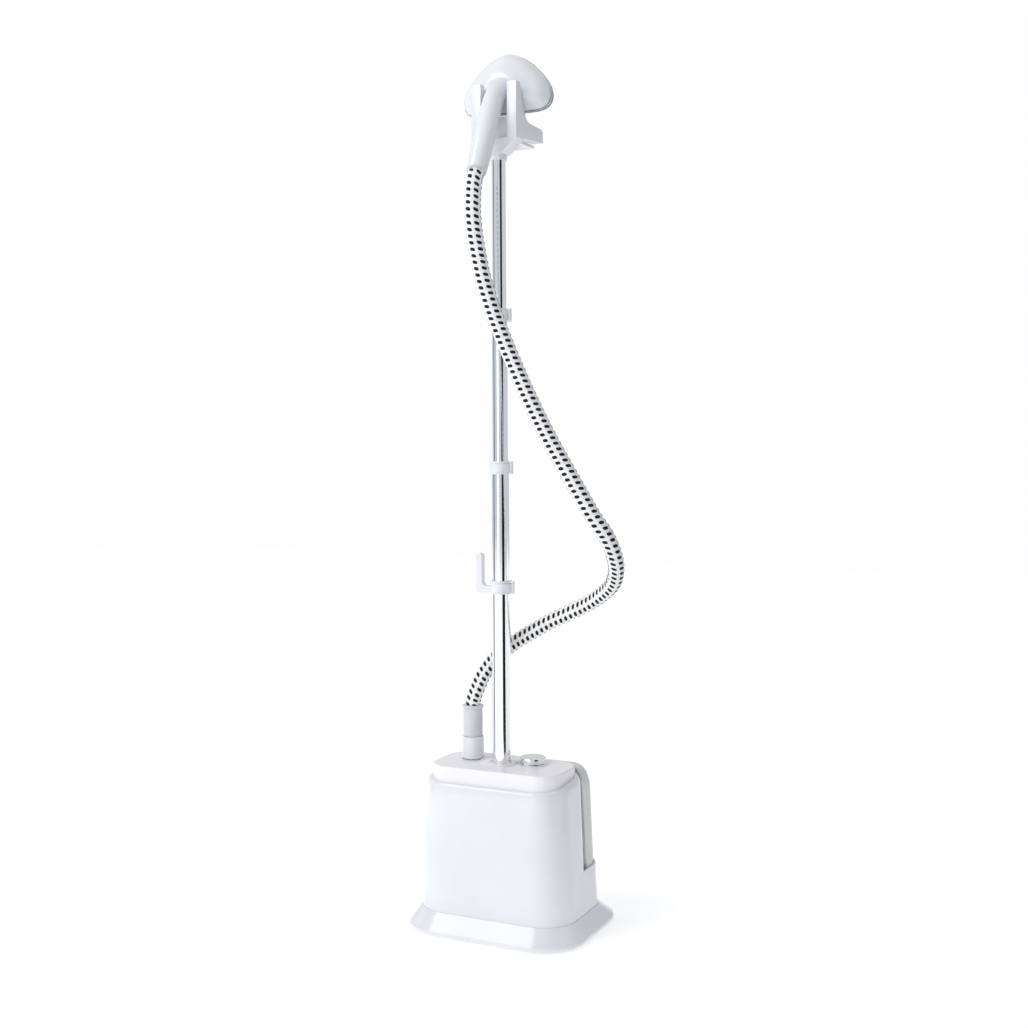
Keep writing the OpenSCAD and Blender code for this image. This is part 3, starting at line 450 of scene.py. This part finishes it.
# share of the way in to the housing, inset, height
tray_profile = [(0.0, 0.7, 0.0), (0.0, 0.2, 0.6), (0.0, 0.0, 1.8), (0.0, 0.0, 4.4), (0.02, 0.0, 5.6),
                (0.06, 0.0, 6.6), (0.13, 0.0, 8.2), (0.2, 0.0, 10.0), (0.4, 0.0, 15.2), (0.6, 0.0, 20.8),
                (0.8, 0.0, 26.2), (0.93, 0.0, 29.8), (0.985, 0.0, 31.4), (1.0, 0.2, 32.0)]
tray_rings = [level(skirt_outline(9 * mm), skirt_z0 + 5 * mm), level(skirt_outline(6 * mm), skirt_z0 + 1 * mm)]
for share_in, edge_in, up in tray_profile:
    outline = mix_outline(skirt_outline(edge_in * mm), collar_outline, share_in)
    tray_rings.append(level(outline, skirt_z0 + up * mm))
tray_rings += [level(body_outline(skirt_z1, 0.3 * mm), skirt_z1 - 0.3 * mm),
               level(body_outline(skirt_z1, 0.3 * mm), body_foot + 0.2 * mm),
               level(body_outline(skirt_z1, 5 * mm), body_foot),
               level(body_outline(skirt_z1, 5 * mm), skirt_z0 + 8 * mm)]
fitted("base_tray", skin_mesh("base_tray", loft(tray_rings)), white_abs, "white_shell", "base_skirt")

# ---------------------------------------------------------------- rubber feet and screws
# Four moulded rubber pads pressed into the tray's underside. Zinc-plated cross-recess
# screws pull the tray up to the housing's posts and close the handset's grip.
def granular(name, tint, shade, scale, roughness, bump, **shader):
    """A material with a grain of its own scale, such as moulded rubber, cast metal or plate."""
    made = bpy.data.materials.new(name)
    made.use_nodes = True
    tree = made.node_tree
    tree.nodes.clear()
    place = add(tree, "ShaderNodeTexCoord")
    grit = add(tree, "ShaderNodeTexNoise", {"Scale": scale, "Detail": 6.0, "Roughness": 0.6},
               {0: place.outputs["Object"]})
    tone = add(tree, "ShaderNodeValToRGB", links={0: grit.outputs[0]})
    tone.color_ramp.elements[0].position, tone.color_ramp.elements[0].color = 0.3, linear(shade)
    tone.color_ramp.elements[1].position, tone.color_ramp.elements[1].color = 0.7, linear(tint)
    rough = add(tree, "ShaderNodeMapRange", {1: 0.3, 2: 0.7, 3: roughness - 0.06, 4: roughness + 0.08},
                {0: grit.outputs[0]})
    skin = add(tree, "ShaderNodeBump", {"Strength": bump, "Distance": 0.0003}, {"Height": grit.outputs[0]})
    body = add(tree, "ShaderNodeBsdfPrincipled", {k.replace("_", " "): v for k, v in shader.items()},
               {"Base Color": tone.outputs[0], "Roughness": rough.outputs[0], "Normal": skin.outputs[0]})
    add(tree, "ShaderNodeOutputMaterial", links={0: body.outputs[0]})
    return made


# Moulded nitrile rubber: near black and matt, with a fine spark-eroded grain.
black_rubber = granular("moulded_nitrile_rubber", "#242426", "#17171a", 700.0, 0.72, 0.25)
# Zinc-plated steel: cool grey, slightly cloudy plate.
zinc_steel = granular("zinc_plated_steel", "#c9cbcd", "#a9acb0", 300.0, 0.32, 0.08, Metallic=1.0)


def cad_mesh(node):
    """The CAD node's own shape as a clean mesh, its coplanar triangles joined."""
    shape = bmesh.new()
    shape.from_mesh(frame["nodes"][node].data)
    bmesh.ops.remove_doubles(shape, verts=shape.verts, dist=2e-6)
    bmesh.ops.dissolve_limit(shape, angle_limit=math.radians(0.5), verts=shape.verts, edges=shape.edges)
    mesh = bpy.data.meshes.new(node + "_shape")
    shape.to_mesh(mesh)
    shape.free()
    return mesh


def refinish(material, *nodes):
    """Gives CAD nodes that keep their own mesh their real finish."""
    for node in nodes:
        frame["nodes"][node].data.materials.clear()
        frame["nodes"][node].data.materials.append(material)


fitted("rubber_feet", cad_mesh("foot_pads"), black_rubber, "foot_rubber", "foot_pads", edge=0.5 * mm)

# One tree sets a pan head with a cross recess, and its shank, on every point it is given.
screws = bpy.data.node_groups.new("screws_on_points", "GeometryNodeTree")
for socket_name, socket_kind in (("Points", "Geometry"), ("Head radius", "Float"), ("Head height", "Float"),
                                 ("Shank radius", "Float"), ("Shank length", "Float"), ("Facing", "Vector"),
                                 ("Finish", "Material")):
    screws.interface.new_socket(socket_name, in_out="INPUT", socket_type="NodeSocket" + socket_kind)
screws.interface.new_socket("Screws", in_out="OUTPUT", socket_type="NodeSocketGeometry")
given = add(screws, "NodeGroupInput")
head_top = add(screws, "ShaderNodeMath", {"operation": "MULTIPLY", 1: 0.72}, {0: given.outputs["Head radius"]})
head = add(screws, "GeometryNodeMeshCone", {"Vertices": 32, "Side Segments": 3},
           {"Radius Top": head_top.outputs[0], "Radius Bottom": given.outputs["Head radius"],
            "Depth": given.outputs["Head height"]})
bar_width = add(screws, "ShaderNodeMath", {"operation": "MULTIPLY", 1: 0.24}, {0: given.outputs["Head radius"]})
bar_size = add(screws, "ShaderNodeCombineXYZ", links={0: given.outputs["Head radius"], 1: bar_width.outputs[0],
                                                      2: given.outputs["Head height"]})
bar = add(screws, "GeometryNodeMeshCube", links={"Size": bar_size.outputs[0]})
bar_up = add(screws, "ShaderNodeCombineXYZ", links={2: given.outputs["Head height"]})
bar_one = add(screws, "GeometryNodeTransform", links={0: bar.outputs[0], "Translation": bar_up.outputs[0]})
bar_two = add(screws, "GeometryNodeTransform", {"Rotation": (0, 0, math.pi / 2)},
              {0: bar.outputs[0], "Translation": bar_up.outputs[0]})
cross = add(screws, "GeometryNodeJoinGeometry")
screws.links.new(bar_one.outputs[0], cross.inputs[0])
screws.links.new(bar_two.outputs[0], cross.inputs[0])
recessed = add(screws, "GeometryNodeMeshBoolean", {"operation": "DIFFERENCE"},
               {"Mesh 1": head.outputs[0], "Mesh 2": cross.outputs[0]})
shank = add(screws, "GeometryNodeMeshCylinder", {"Vertices": 24},
            {"Radius": given.outputs["Shank radius"], "Depth": given.outputs["Shank length"]})
half_down = add(screws, "ShaderNodeMath", {"operation": "MULTIPLY", 1: -0.5}, {0: given.outputs["Shank length"]})
shank_down = add(screws, "ShaderNodeCombineXYZ", links={2: half_down.outputs[0]})
shank_in = add(screws, "GeometryNodeTransform",
               links={0: shank.outputs["Mesh"], "Translation": shank_down.outputs[0]})
one_screw = add(screws, "GeometryNodeJoinGeometry")
screws.links.new(recessed.outputs[0], one_screw.inputs[0])
screws.links.new(shank_in.outputs[0], one_screw.inputs[0])
placed = add(screws, "GeometryNodeInstanceOnPoints",
             links={"Points": given.outputs[0], "Instance": one_screw.outputs[0],
                    "Rotation": given.outputs["Facing"]})
real = add(screws, "GeometryNodeRealizeInstances", links={0: placed.outputs[0]})
plated = add(screws, "GeometryNodeSetMaterial", links={0: real.outputs[0], "Material": given.outputs["Finish"]})
add(screws, "NodeGroupOutput", links={0: plated.outputs[0]})


def set_screws(name, node, places, facing, head_radius, head_height, shank_radius, shank_length):
    """Screws at the places where their heads seat, turned by facing, as a plain mesh for the CAD node."""
    seats = bpy.data.meshes.new(name + "_seats")
    seats.from_pydata(places, [], [])
    holder = new_object(name + "_seats", seats)
    maker = holder.modifiers.new("screws", "NODES")
    maker.node_group = screws
    wanted = {"Head radius": head_radius, "Head height": head_height, "Shank radius": shank_radius,
              "Shank length": shank_length, "Facing": facing, "Finish": zinc_steel}
    for item in screws.interface.items_tree:
        if item.in_out == "INPUT" and item.name in wanted:
            maker[item.identifier] = wanted[item.name]
    mesh = bpy.data.meshes.new_from_object(holder.evaluated_get(bpy.context.evaluated_depsgraph_get()))
    bpy.data.objects.remove(holder)
    return fitted(name, mesh, zinc_steel, "steel", node)


screw_x, screw_ys, screw_z = body_w / 2 - 0.042, (-0.070, 0.055), 0.009
set_screws("tray_screws", "base_screws", [(x, y, screw_z) for x in (-screw_x, screw_x) for y in screw_ys],
           (math.pi, 0.0, 0.0), 4 * mm, 2.4 * mm, 2 * mm, 24 * mm)

# ---------------------------------------------------------------- housing
# The main shell, one deep ABS moulding with the sides drawn in towards the top. Its
# rear half stops at a low rim, behind which the tank drops in beside the tall front block.
upper_rear = 0.040
rim_z, seat_z = 0.108, 0.099
shoulder_h, shoulder_in = 0.018, 0.0065
top_tilt = 14 / 131


def tilted(outline, z):
    return [(x, y, z + top_tilt * (y + body_front - 0.008)) for x, y in outline]


def rear_run(outline, y_from, steps=corner_steps):
    """The rear part of an outline, from the right side at y_from round to the left side."""
    rear = [p for p in outline[:2 * (steps + 1)] if p[1] > y_from + 1e-5]
    first = outline[0]
    x = first[0]
    for a, b in zip(outline, outline[1:steps + 1]):
        if a[1] <= y_from <= b[1]:
            x = a[0] + (b[0] - a[0]) * (y_from - a[1]) / (b[1] - a[1])
    return [(x, y_from)] + rear + [(-x, y_from)]


low_block = [level(body_outline(z), z) for z in (body_foot, 0.034, 0.052, 0.075, seat_z)]
low_block = [level(body_outline(body_foot, 0.3 * mm), body_foot)] + [low_block[1]] + low_block[2:]
tall_block = [level(body_outline(seat_z, rear=upper_rear), seat_z)]
for z in (0.12, 0.15, 0.18, 0.21, shoulder_z):
    lifted = (z - seat_z) / (shoulder_z - seat_z)
    outline = body_outline(z, rear=upper_rear)
    tall_block.append([(x, y, z + lifted * top_tilt * (y + body_front - 0.008)) for x, y in outline])
for a in (8, 18, 30, 43, 56, 68, 80, 90):
    tall_block.append(tilted(body_outline(shoulder_z, shoulder_in * (1 - math.cos(math.radians(a))), upper_rear),
                             shoulder_z + shoulder_h * math.sin(math.radians(a))))
tall_block.append(tilted(body_outline(shoulder_z, 13 * mm, upper_rear), shoulder_z + shoulder_h))
rim_start = upper_rear - body_r + 0.004
rim_rows = [(0.0, seat_z - 0.4 * mm), (0.0, rim_z - 3 * mm), (0.25 * mm, rim_z - 1.6 * mm),
            (0.8 * mm, rim_z - 0.6 * mm),
            (1.8 * mm, rim_z), (2.9 * mm, rim_z), (3.6 * mm, rim_z - 0.8 * mm), (3.6 * mm, seat_z - 0.4 * mm)]
rim_rings = [level(rear_run(body_outline(rim_z - 3 * mm if z > rim_z - 3 * mm else z, inset), rim_start), z)
             for inset, z in rim_rows]
rim_n = len(rim_rings[0])
rim_points = [p for ring in rim_rings for p in ring]
rim_faces = [(k * rim_n + i, k * rim_n + i + 1, (k + 1) % 8 * rim_n + i + 1, (k + 1) % 8 * rim_n + i)
             for k in range(8) for i in range(rim_n - 1)]
rim_faces += [tuple(k * rim_n for k in range(7, -1, -1)), tuple(k * rim_n + rim_n - 1 for k in range(8))]
fitted("housing_shell", skin_mesh("housing_shell", loft(low_block), loft(tall_block), (rim_points, rim_faces)),
       white_abs, "white_shell", "housing")
refinish(white_abs, "tank_tray", "valve_seat")

# ---------------------------------------------------------------- inside the base
# The cast boiler with its bolted lid, silicone seals and feed tube, the thermostat and the
# steam pipe, all out of sight under the housing, and the strain relief at the back.
# Sand-cast aluminium: dull grey, open grain.
cast_aluminium = granular("sand_cast_aluminium", "#b9bbbd", "#9a9c9f", 420.0, 0.5, 0.5, Metallic=1.0)
# Silicone rubber, brick red in seals: soft and dull.
red_silicone = granular("red_silicone_rubber", "#c4523f", "#b04434", 500.0, 0.55, 0.1, Subsurface_Weight=0.1)
# Glass-filled nylon, dark grey with a fine grain.
dark_nylon = granular("dark_filled_nylon", "#2c2d30", "#202124", 900.0, 0.45, 0.15)
# Acetal, a light grey waxy plastic for guides and glands.
grey_acetal = granular("grey_acetal", "#c6c8ca", "#b9bbbe", 350.0, 0.38, 0.06)
refinish(cast_aluminium, "boiler", "boiler_lid")
refinish(red_silicone, "boiler_gasket", "feed_tube", "tank_seal", "head_gasket", "steam_tube")
refinish(grey_acetal, "thermostat", "cord_gland", "bush_2", "bush_3", "bush_4")
refinish(dark_nylon, "rotary_switch", "valve_plunger")
refinish(zinc_steel, "steam_pipe", "valve_spring", "lever_pin_1", "lever_pin_2", "lever_pin_3", "cradle_screw")

# ---------------------------------------------------------------- water tank
# A blow-moulded polypropylene tank, milky and see-through, wrapped round the back of the
# front block. It lifts straight off; its cap and valve are under it in the valve seat.
# Natural polypropylene: cloudy, waxy, lets a soft green-grey light through.
milky_pp = moulded_plastic("natural_polypropylene", "#f1f4f1", "#ebefec", 0.3, Transmission_Weight=0.22,
                           Subsurface_Weight=0.3, Subsurface_Radius=(0.012, 0.014, 0.012),
                           Subsurface_Scale=0.6, IOR=1.49)
tank_foot, tank_top, tank_inset, tank_wall = seat_z + 0.3 * mm, 0.277, 4 * mm, 2.2 * mm
tank_front, shell_gap, tank_round = upper_rear - 0.023, 1.5 * mm, 0.022


def carve(mesh, *cuts):
    """The mesh after exact booleans with the others, in turn, as a plain mesh."""
    block = new_object("block", mesh)
    cutters = []
    for operation, other in cuts:
        cutters.append(new_object("cutter", other))
        cut = block.modifiers.new("cut", "BOOLEAN")
        cut.operation, cut.solver, cut.object = operation, "EXACT", cutters[-1]
    ready = bpy.data.meshes.new_from_object(block.evaluated_get(bpy.context.evaluated_depsgraph_get()))
    for spent in [block] + cutters:
        bpy.data.objects.remove(spent)
    return ready


def box_mesh(low, high):
    corners = [[(low[0], low[1], z), (high[0], low[1], z), (high[0], high[1], z), (low[0], high[1], z)]
               for z in (low[2], high[2])]
    return skin_mesh("box", loft(corners))


straight = shoulder_z - 6 * mm
tank_rings = [level(body_outline(z, tank_inset + e), z)
              for z, e in ((tank_foot, 1.2 * mm), (tank_foot + 1.2 * mm, 0.0),
              (0.14, 0.0), (0.18, 0.0), (straight, 0.0))]
for a in (10, 20, 32, 44, 56, 67, 78, 90):
    c, s = math.cos(math.radians(a)), math.sin(math.radians(a))
    tank_rings.append(level(body_outline(straight, tank_inset + tank_round * (1 - c)),
                            straight + (tank_top - straight) * s))
front_room = [level(body_outline(z, -shell_gap, upper_rear), z)
              for z in (tank_foot - 0.01, 0.16, 0.22, tank_top + 0.01)]
tank_mesh = carve(skin_mesh("tank", loft(tank_rings)), ("DIFFERENCE", skin_mesh("room", loft(front_room))),
                  ("DIFFERENCE", box_mesh((-0.3, -0.3, 0.05), (0.3, tank_front, 0.35))))
tank = fitted("water_tank_shell", tank_mesh, milky_pp, "tank_clear", "water_tank", edge=1.0 * mm, crease=38.0)
tank_wall_made = tank.modifiers.new("wall", "SOLIDIFY")
tank_wall_made.thickness, tank_wall_made.offset = tank_wall, -1.0
refinish(white_abs, "tank_cap")

# ---------------------------------------------------------------- deck
# The control deck, a satin ABS lid snapped on the front block. Its band stands inside the
# shoulder and it is drilled for the pole, the steam outlet, the dial and the lamp.
# ABS from a fine-blasted tool: off-white, slightly warm, soft highlights. Its tint is also painted lighter than the
# housing's white: painted light standing in for the light falling on the deck's top.
satin_abs_painted_lighter = moulded_plastic("satin_abs_blasted_tool", "#f3f1f4", "#efedf1", 0.3)
deck_low, deck_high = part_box("deck")
deck_w, deck_front, deck_rear = deck_high.x - deck_low.x, -deck_low.y, deck_high.y
deck_r = 0.041
deck_z = deck_high.z
deck_fillet = 2.6 * mm
deck_rings = [tilted(rounded(deck_w, deck_front, deck_rear, deck_r), shoulder_z + shoulder_h - 0.5 * mm),
              level(rounded(deck_w, deck_front, deck_rear, deck_r), deck_z - deck_fillet)]
for a in (18, 36, 54, 72, 90):
    inset = deck_fillet * (1 - math.cos(math.radians(a)))
    deck_rings.append(level(rounded(deck_w - 2 * inset, deck_front - inset, deck_rear - inset, deck_r - inset),
                            deck_z - deck_fillet * (1 - math.sin(math.radians(a)))))
fitted("control_deck", skin_mesh("control_deck", loft(deck_rings)), satin_abs_painted_lighter, "deck_shell", "deck", crease=45.0)

# ---------------------------------------------------------------- controls
# A chrome-plated dial on its bezel turns the rotary switch; a small frosted lamp lens
# sits beside it. The dial is turned and plated, with a dished top and a soft rim.
turned_steps = 96


def turned(profile, x, y, ends=True):
    """A turned shape on a vertical axis from (radius, height) pairs."""
    return loft([[(x + r * math.cos(2 * math.pi * i / turned_steps),
                   y + r * math.sin(2 * math.pi * i / turned_steps), z)
                  for i in range(turned_steps)] for r, z in profile], ends)


def plated_metal(name, tint, roughness, along):
    """Bright plate: sharp reflections, with faint polishing lines that run round or along the piece."""
    made = bpy.data.materials.new(name)
    made.use_nodes = True
    tree = made.node_tree
    tree.nodes.clear()
    place = add(tree, "ShaderNodeTexCoord")
    stretched = add(tree, "ShaderNodeMapping", {"Scale": along}, {"Vector": place.outputs["Object"]})
    lines = add(tree, "ShaderNodeTexNoise", {"Scale": 1.0, "Detail": 4.0}, {0: stretched.outputs[0]})
    haze = add(tree, "ShaderNodeMapRange", {1: 0.35, 2: 0.7, 3: roughness, 4: roughness + 0.025},
               {0: lines.outputs[0]})
    tone = add(tree, "ShaderNodeValToRGB", links={0: lines.outputs[0]})
    tone.color_ramp.elements[0].color = linear(tint)
    tone.color_ramp.elements[1].color = linear("#f4f6f8")
    body = add(tree, "ShaderNodeBsdfPrincipled", {"Metallic": 1.0},
               {"Base Color": tone.outputs[0], "Roughness": haze.outputs[0]})
    add(tree, "ShaderNodeOutputMaterial", links={0: body.outputs[0]})
    return made


# Bright chrome plate on ABS, buffed round the axis.
chrome_trim = plated_metal("bright_chrome_plate", "#dfe2e5", 0.05, (60.0, 60.0, 900.0))
dial_x, dial_y = 0.048, -0.014
dial_z = deck_z + 2.7 * mm
dial_profile = [(2.9, -19.6), (3.0, -19.3), (3.0, -0.1), (21.6, 0.0), (22.4, 0.25), (22.9, 0.9), (23.0, 1.6),
                (23.0, 6.9),
                (22.85, 8.0), (22.4, 9.0), (21.6, 9.9), (20.5, 10.6), (19.2, 11.05), (18.0, 11.2), (17.0, 11.05),
                (16.2, 10.6), (15.4, 10.0), (14.0, 9.2), (12.0, 8.55), (9.0, 8.0), (5.0, 7.7), (0.4, 7.6)]
fitted("mode_dial",
       skin_mesh("mode_dial", turned([(r * mm, dial_z + z * mm) for r, z in dial_profile], dial_x, dial_y)),
       chrome_trim, "chrome_trim", "dial_knob", crease=50.0)
fitted("dial_bezel", cad_mesh("dial_base"), chrome_trim, "chrome_trim", "dial_base", edge=0.5 * mm)
# Frosted polycarbonate over the lamp, faintly warm.
frosted_lens = moulded_plastic("frosted_polycarbonate", "#ece6de", "#e4ded6", 0.25, Transmission_Weight=0.3)
fitted("lamp_lens", cad_mesh("indicator_lens"), frosted_lens, "lens", "indicator_lens", edge=0.4 * mm)

# ---------------------------------------------------------------- steam outlet
# A threaded white spigot through the deck, the hose's union nut on it, and the soft grey
# cuff that keeps the hose from kinking where it leaves the nut.
# Soft thermoplastic rubber: light grey, matt, with a fine grain.
soft_grey = granular("light_grey_tpe", "#d9dadd", "#cfd0d4", 600.0, 0.5, 0.08, Subsurface_Weight=0.05)
nut_low, nut_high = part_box("coupling_nut")
outlet_x, outlet_y = (nut_low.x + nut_high.x) / 2, (nut_low.y + nut_high.y) / 2
nut_profile = [(12.1, 0.3), (19.4, 0.0), (20.0, 0.25), (20.2, 0.9), (20.2, 3.4), (20.0, 4.6), (19.65, 5.8),
               (19.55, 7.0),
               (19.1, 36.2), (18.9, 37.2), (18.2, 37.9), (17.2, 38.0), (10.2, 38.0), (10.1, 30.0), (12.1, 28.0)]
fitted("union_nut", skin_mesh("union_nut", turned([(r * mm, nut_low.z + z * mm) for r, z in nut_profile],
                                                  outlet_x, outlet_y, ends=False)),
       white_abs, "white_shell", "coupling_nut")
cuff_low, cuff_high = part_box("hose_cuff")
cuff_top = (cuff_high.z - cuff_low.z) / mm
cuff_profile = [(6.1, 0.0), (9.9, 0.0), (10.0, 9.5), (16.2, 9.7), (16.8, 10.0), (17.0, 10.8), (17.0, cuff_top - 6.0),
                (17.3, cuff_top - 4.8), (18.3, cuff_top - 4.1), (18.9, cuff_top - 3.2), (19.0, cuff_top - 2.2),
                (18.8, cuff_top - 0.9), (18.0, cuff_top - 0.1), (14.2, cuff_top), (6.1, cuff_top - 0.4)]
fitted("hose_cuff_sleeve",
       skin_mesh("hose_cuff_sleeve", turned([(r * mm, cuff_low.z + z * mm) for r, z in cuff_profile],
                                                                outlet_x, outlet_y, ends=False)),
       soft_grey, "cuff_grey", "hose_cuff")
refinish(white_abs, "steam_outlet")
refinish(soft_grey, "hose_end_ring")

# ---------------------------------------------------------------- pole
# Four chromed steel tubes that slide into each other, each end rolled smooth. The lowest
# stands in a socket on the deck, where a sprung tab locks it.
fitted("pole_plinth", cad_mesh("pole_socket"), satin_abs_painted_lighter, "deck_shell", "pole_socket", edge=0.7 * mm)
fitted("pole_lock", cad_mesh("pole_lock_tab"), satin_abs_painted_lighter, "deck_shell", "pole_lock_tab", edge=0.4 * mm)
# Chromed steel tube: mirror bright with draw lines along it.
tube_chrome = plated_metal("chromed_steel_tube", "#eaecee", 0.07, (500.0, 500.0, 4.0))
pole_y = -0.036
for i in (1, 2, 3, 4):
    tube_low, tube_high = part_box(f"tube_{i}")
    outer = (tube_high.x - tube_low.x) / 2
    inner = outer - 0.8 * mm
    lip = [(outer, tube_low.z), (outer, tube_high.z - 0.5 * mm), (outer - 0.15 * mm, tube_high.z - 0.1 * mm),
           (outer - 0.4 * mm, tube_high.z), (inner + 0.15 * mm, tube_high.z - 0.1 * mm),
            (inner, tube_high.z - 0.5 * mm),
           (inner, tube_low.z)]
    fitted(f"pole_tube_{i}", skin_mesh(f"pole_tube_{i}", turned(lip, 0.0, pole_y, ends=False)), tube_chrome,
           "pole_chrome", f"tube_{i}")

# ---------------------------------------------------------------- clamps and hook
# White ABS clamp collars pressed on the tubes' upper ends, each with a flip lever on a
# steel pin. The lowest one carries the hook for a hanger or the slack hose.
for i in (1, 2, 3):
    fitted(f"clamp_collar_{i}", cad_mesh(f"collar_{i}"), white_abs, "white_shell", f"collar_{i}", edge=0.6 * mm)
    fitted(f"clamp_lever_{i}", cad_mesh(f"lever_{i}"), white_abs, "white_shell", f"lever_{i}", edge=0.45 * mm)
fitted("hanging_hook", cad_mesh("hose_hook"), white_abs, "white_shell", "hose_hook", edge=1.6 * mm)

# ---------------------------------------------------------------- cradle
# The fork on top of the pole, one white ABS moulding: two arms with a saddle between
# them, and a socket that a screw holds to the top tube.
fitted("cradle_fork", cad_mesh("cradle"), white_abs, "white_shell", "cradle", edge=1.5 * mm)

# ---------------------------------------------------------------- handset
# The steam head and grip, blow-moulded smooth into one form, then split: a front shell and
# a rear grip cover, screwed together. A clear rim and the aluminium plate close the face.
head_frame = Matrix.Translation((0, 0, 1.415)) @ Matrix.Rotation(math.radians(-9.6), 4, "X")
handle_frame = Matrix.Translation((0, -0.117, 1.284)) @ Matrix.Rotation(-grip_lean, 4, "X")
head_w, head_h, head_low, head_mid = 0.162, 0.101, -0.018, 0.038
head_half = [(0, 1), (0.07, 0.975), (0.14, 0.93), (0.22, 0.85), (0.29, 0.76), (0.37, 0.63), (0.435, 0.5),
             (0.475, 0.39), (0.495, 0.29), (0.5, 0.22), (0.485, 0.12), (0.44, 0.045), (0.37, 0.01), (0.25, 0),
             (0.12, 0)]


def smooth_rows(rows, steps, closed=False):
    """Rows of numbers filled in along a smooth curve."""
    n = len(rows)
    rows = [Vector(r) for r in rows]
    pick = (lambda k: rows[k % n]) if closed else (lambda k: rows[min(max(k, 0), n - 1)])
    filled = [through(pick(k - 1), pick(k), pick(k + 1), pick(k + 2), j / steps)
              for k in range(n if closed else n - 1) for j in range(steps)]
    return filled if closed else filled + [rows[-1]]


def head_outline(scale, shift=0.0):
    shape = head_half + [(-x, y) for x, y in head_half[:0:-1]]
    return [(p[0] * head_w * scale, head_mid + shift + (head_low + p[1] * head_h - head_mid) * scale)
            for p in smooth_rows(shape, 4, closed=True)]


def face_ring(scale, depth, shift=0.0):
    return [tuple(head_frame @ Vector((x, depth, z))) for x, z in head_outline(scale, shift)]


# scale of the face's outline, shift up, depth in front of the face
dome_rows = [(0.10, -11.5, -37.8), (0.28, -11, -37), (0.5, -7, -33), (0.72, -3, -27), (0.88, -1, -19), (0.97, 0, -10),
             (1.0, 0, -3), (0.985, 0, 0)]
dome = loft([face_ring(s, d * mm, u * mm) for s, u, d in smooth_rows(dome_rows, 5)])
# height along the grip, width, depth, shift backwards
grip_rows = [(0, 33, 33, 0), (12, 34.5, 34, 0), (50, 36.5, 36, -1), (90, 36.5, 37, -1), (125, 34.5, 38, 0),
             (155, 36, 38, 4), (180, 42, 30, 12), (200, 34, 16, 20)]
grip = loft([[tuple(handle_frame @ Vector((w / 2 * mm * math.cos(math.radians(a)),
                                          (b + d / 2 * math.sin(math.radians(a))) * mm, z * mm)))
              for a in range(0, 360, 6)] for z, w, d, b in smooth_rows(grip_rows, 6)])
form = new_object("handset_form", carve(skin_mesh("dome", dome), ("UNION", skin_mesh("grip", grip))))
voxels = form.modifiers.new("one_skin", "REMESH")
voxels.mode, voxels.voxel_size = "VOXEL", 1.15 * mm
faired = form.modifiers.new("faired", "SMOOTH")
faired.factor, faired.iterations = 0.5, 14
handset_form = bpy.data.meshes.new_from_object(form.evaluated_get(bpy.context.evaluated_depsgraph_get()))
bpy.data.objects.remove(form)


def grip_box(y_from, z_from, z_to):
    cut = box_mesh((-0.05, y_from, z_from), (0.05, 0.06, z_to))
    cut.transform(handle_frame)
    return cut


handset_rear = carve(handset_form.copy(), ("INTERSECT", grip_box(0.25 * mm, 0.0, 119.7 * mm)))
handset_front = carve(handset_form.copy(), ("DIFFERENCE", grip_box(0.0, -0.02, 120.0 * mm)))
fitted("handset_front_shell", handset_front, white_abs, "white_shell", "handset_shell", crease=50.0)
fitted("handset_rear_cover", handset_rear, white_abs, "white_shell", "handle_cover", crease=50.0)
set_screws("grip_screws", "handset_screws",
           [tuple(handle_frame @ Vector((0, 0.0141, z))) for z in (0.030, 0.075, 0.108)],
           (-grip_lean - math.pi / 2, 0.0, 0.0), 3 * mm, 1.6 * mm, 1.45 * mm, 3 * mm)
# Clear polycarbonate rim: pale and see-through, brighter at its edges.
clear_rim = moulded_plastic("clear_polycarbonate", "#e3e8e9", "#dbe1e3", 0.12, Transmission_Weight=0.75, IOR=1.58)
rim_profile = [(0.905, 0.1), (1.018, 0.1), (1.024, 0.5), (1.026, 1.1),
               (1.026, 4.5), (1.024, 5.1), (1.018, 5.5), (0.905, 5.5)]
fitted("head_rim_ring", skin_mesh("head_rim_ring", loft([face_ring(s, d * mm) for s, d in rim_profile], ends=False)),
       clear_rim, "rim_clear", "head_rim")
# Polished die-cast aluminium: clean and bright, faint buffing lines.
sole_aluminium = plated_metal("polished_aluminium", "#cfd2d5", 0.14, (40.0, 900.0, 900.0))
fitted("steam_plate", cad_mesh("soleplate"), sole_aluminium, "sole_metal", "soleplate")
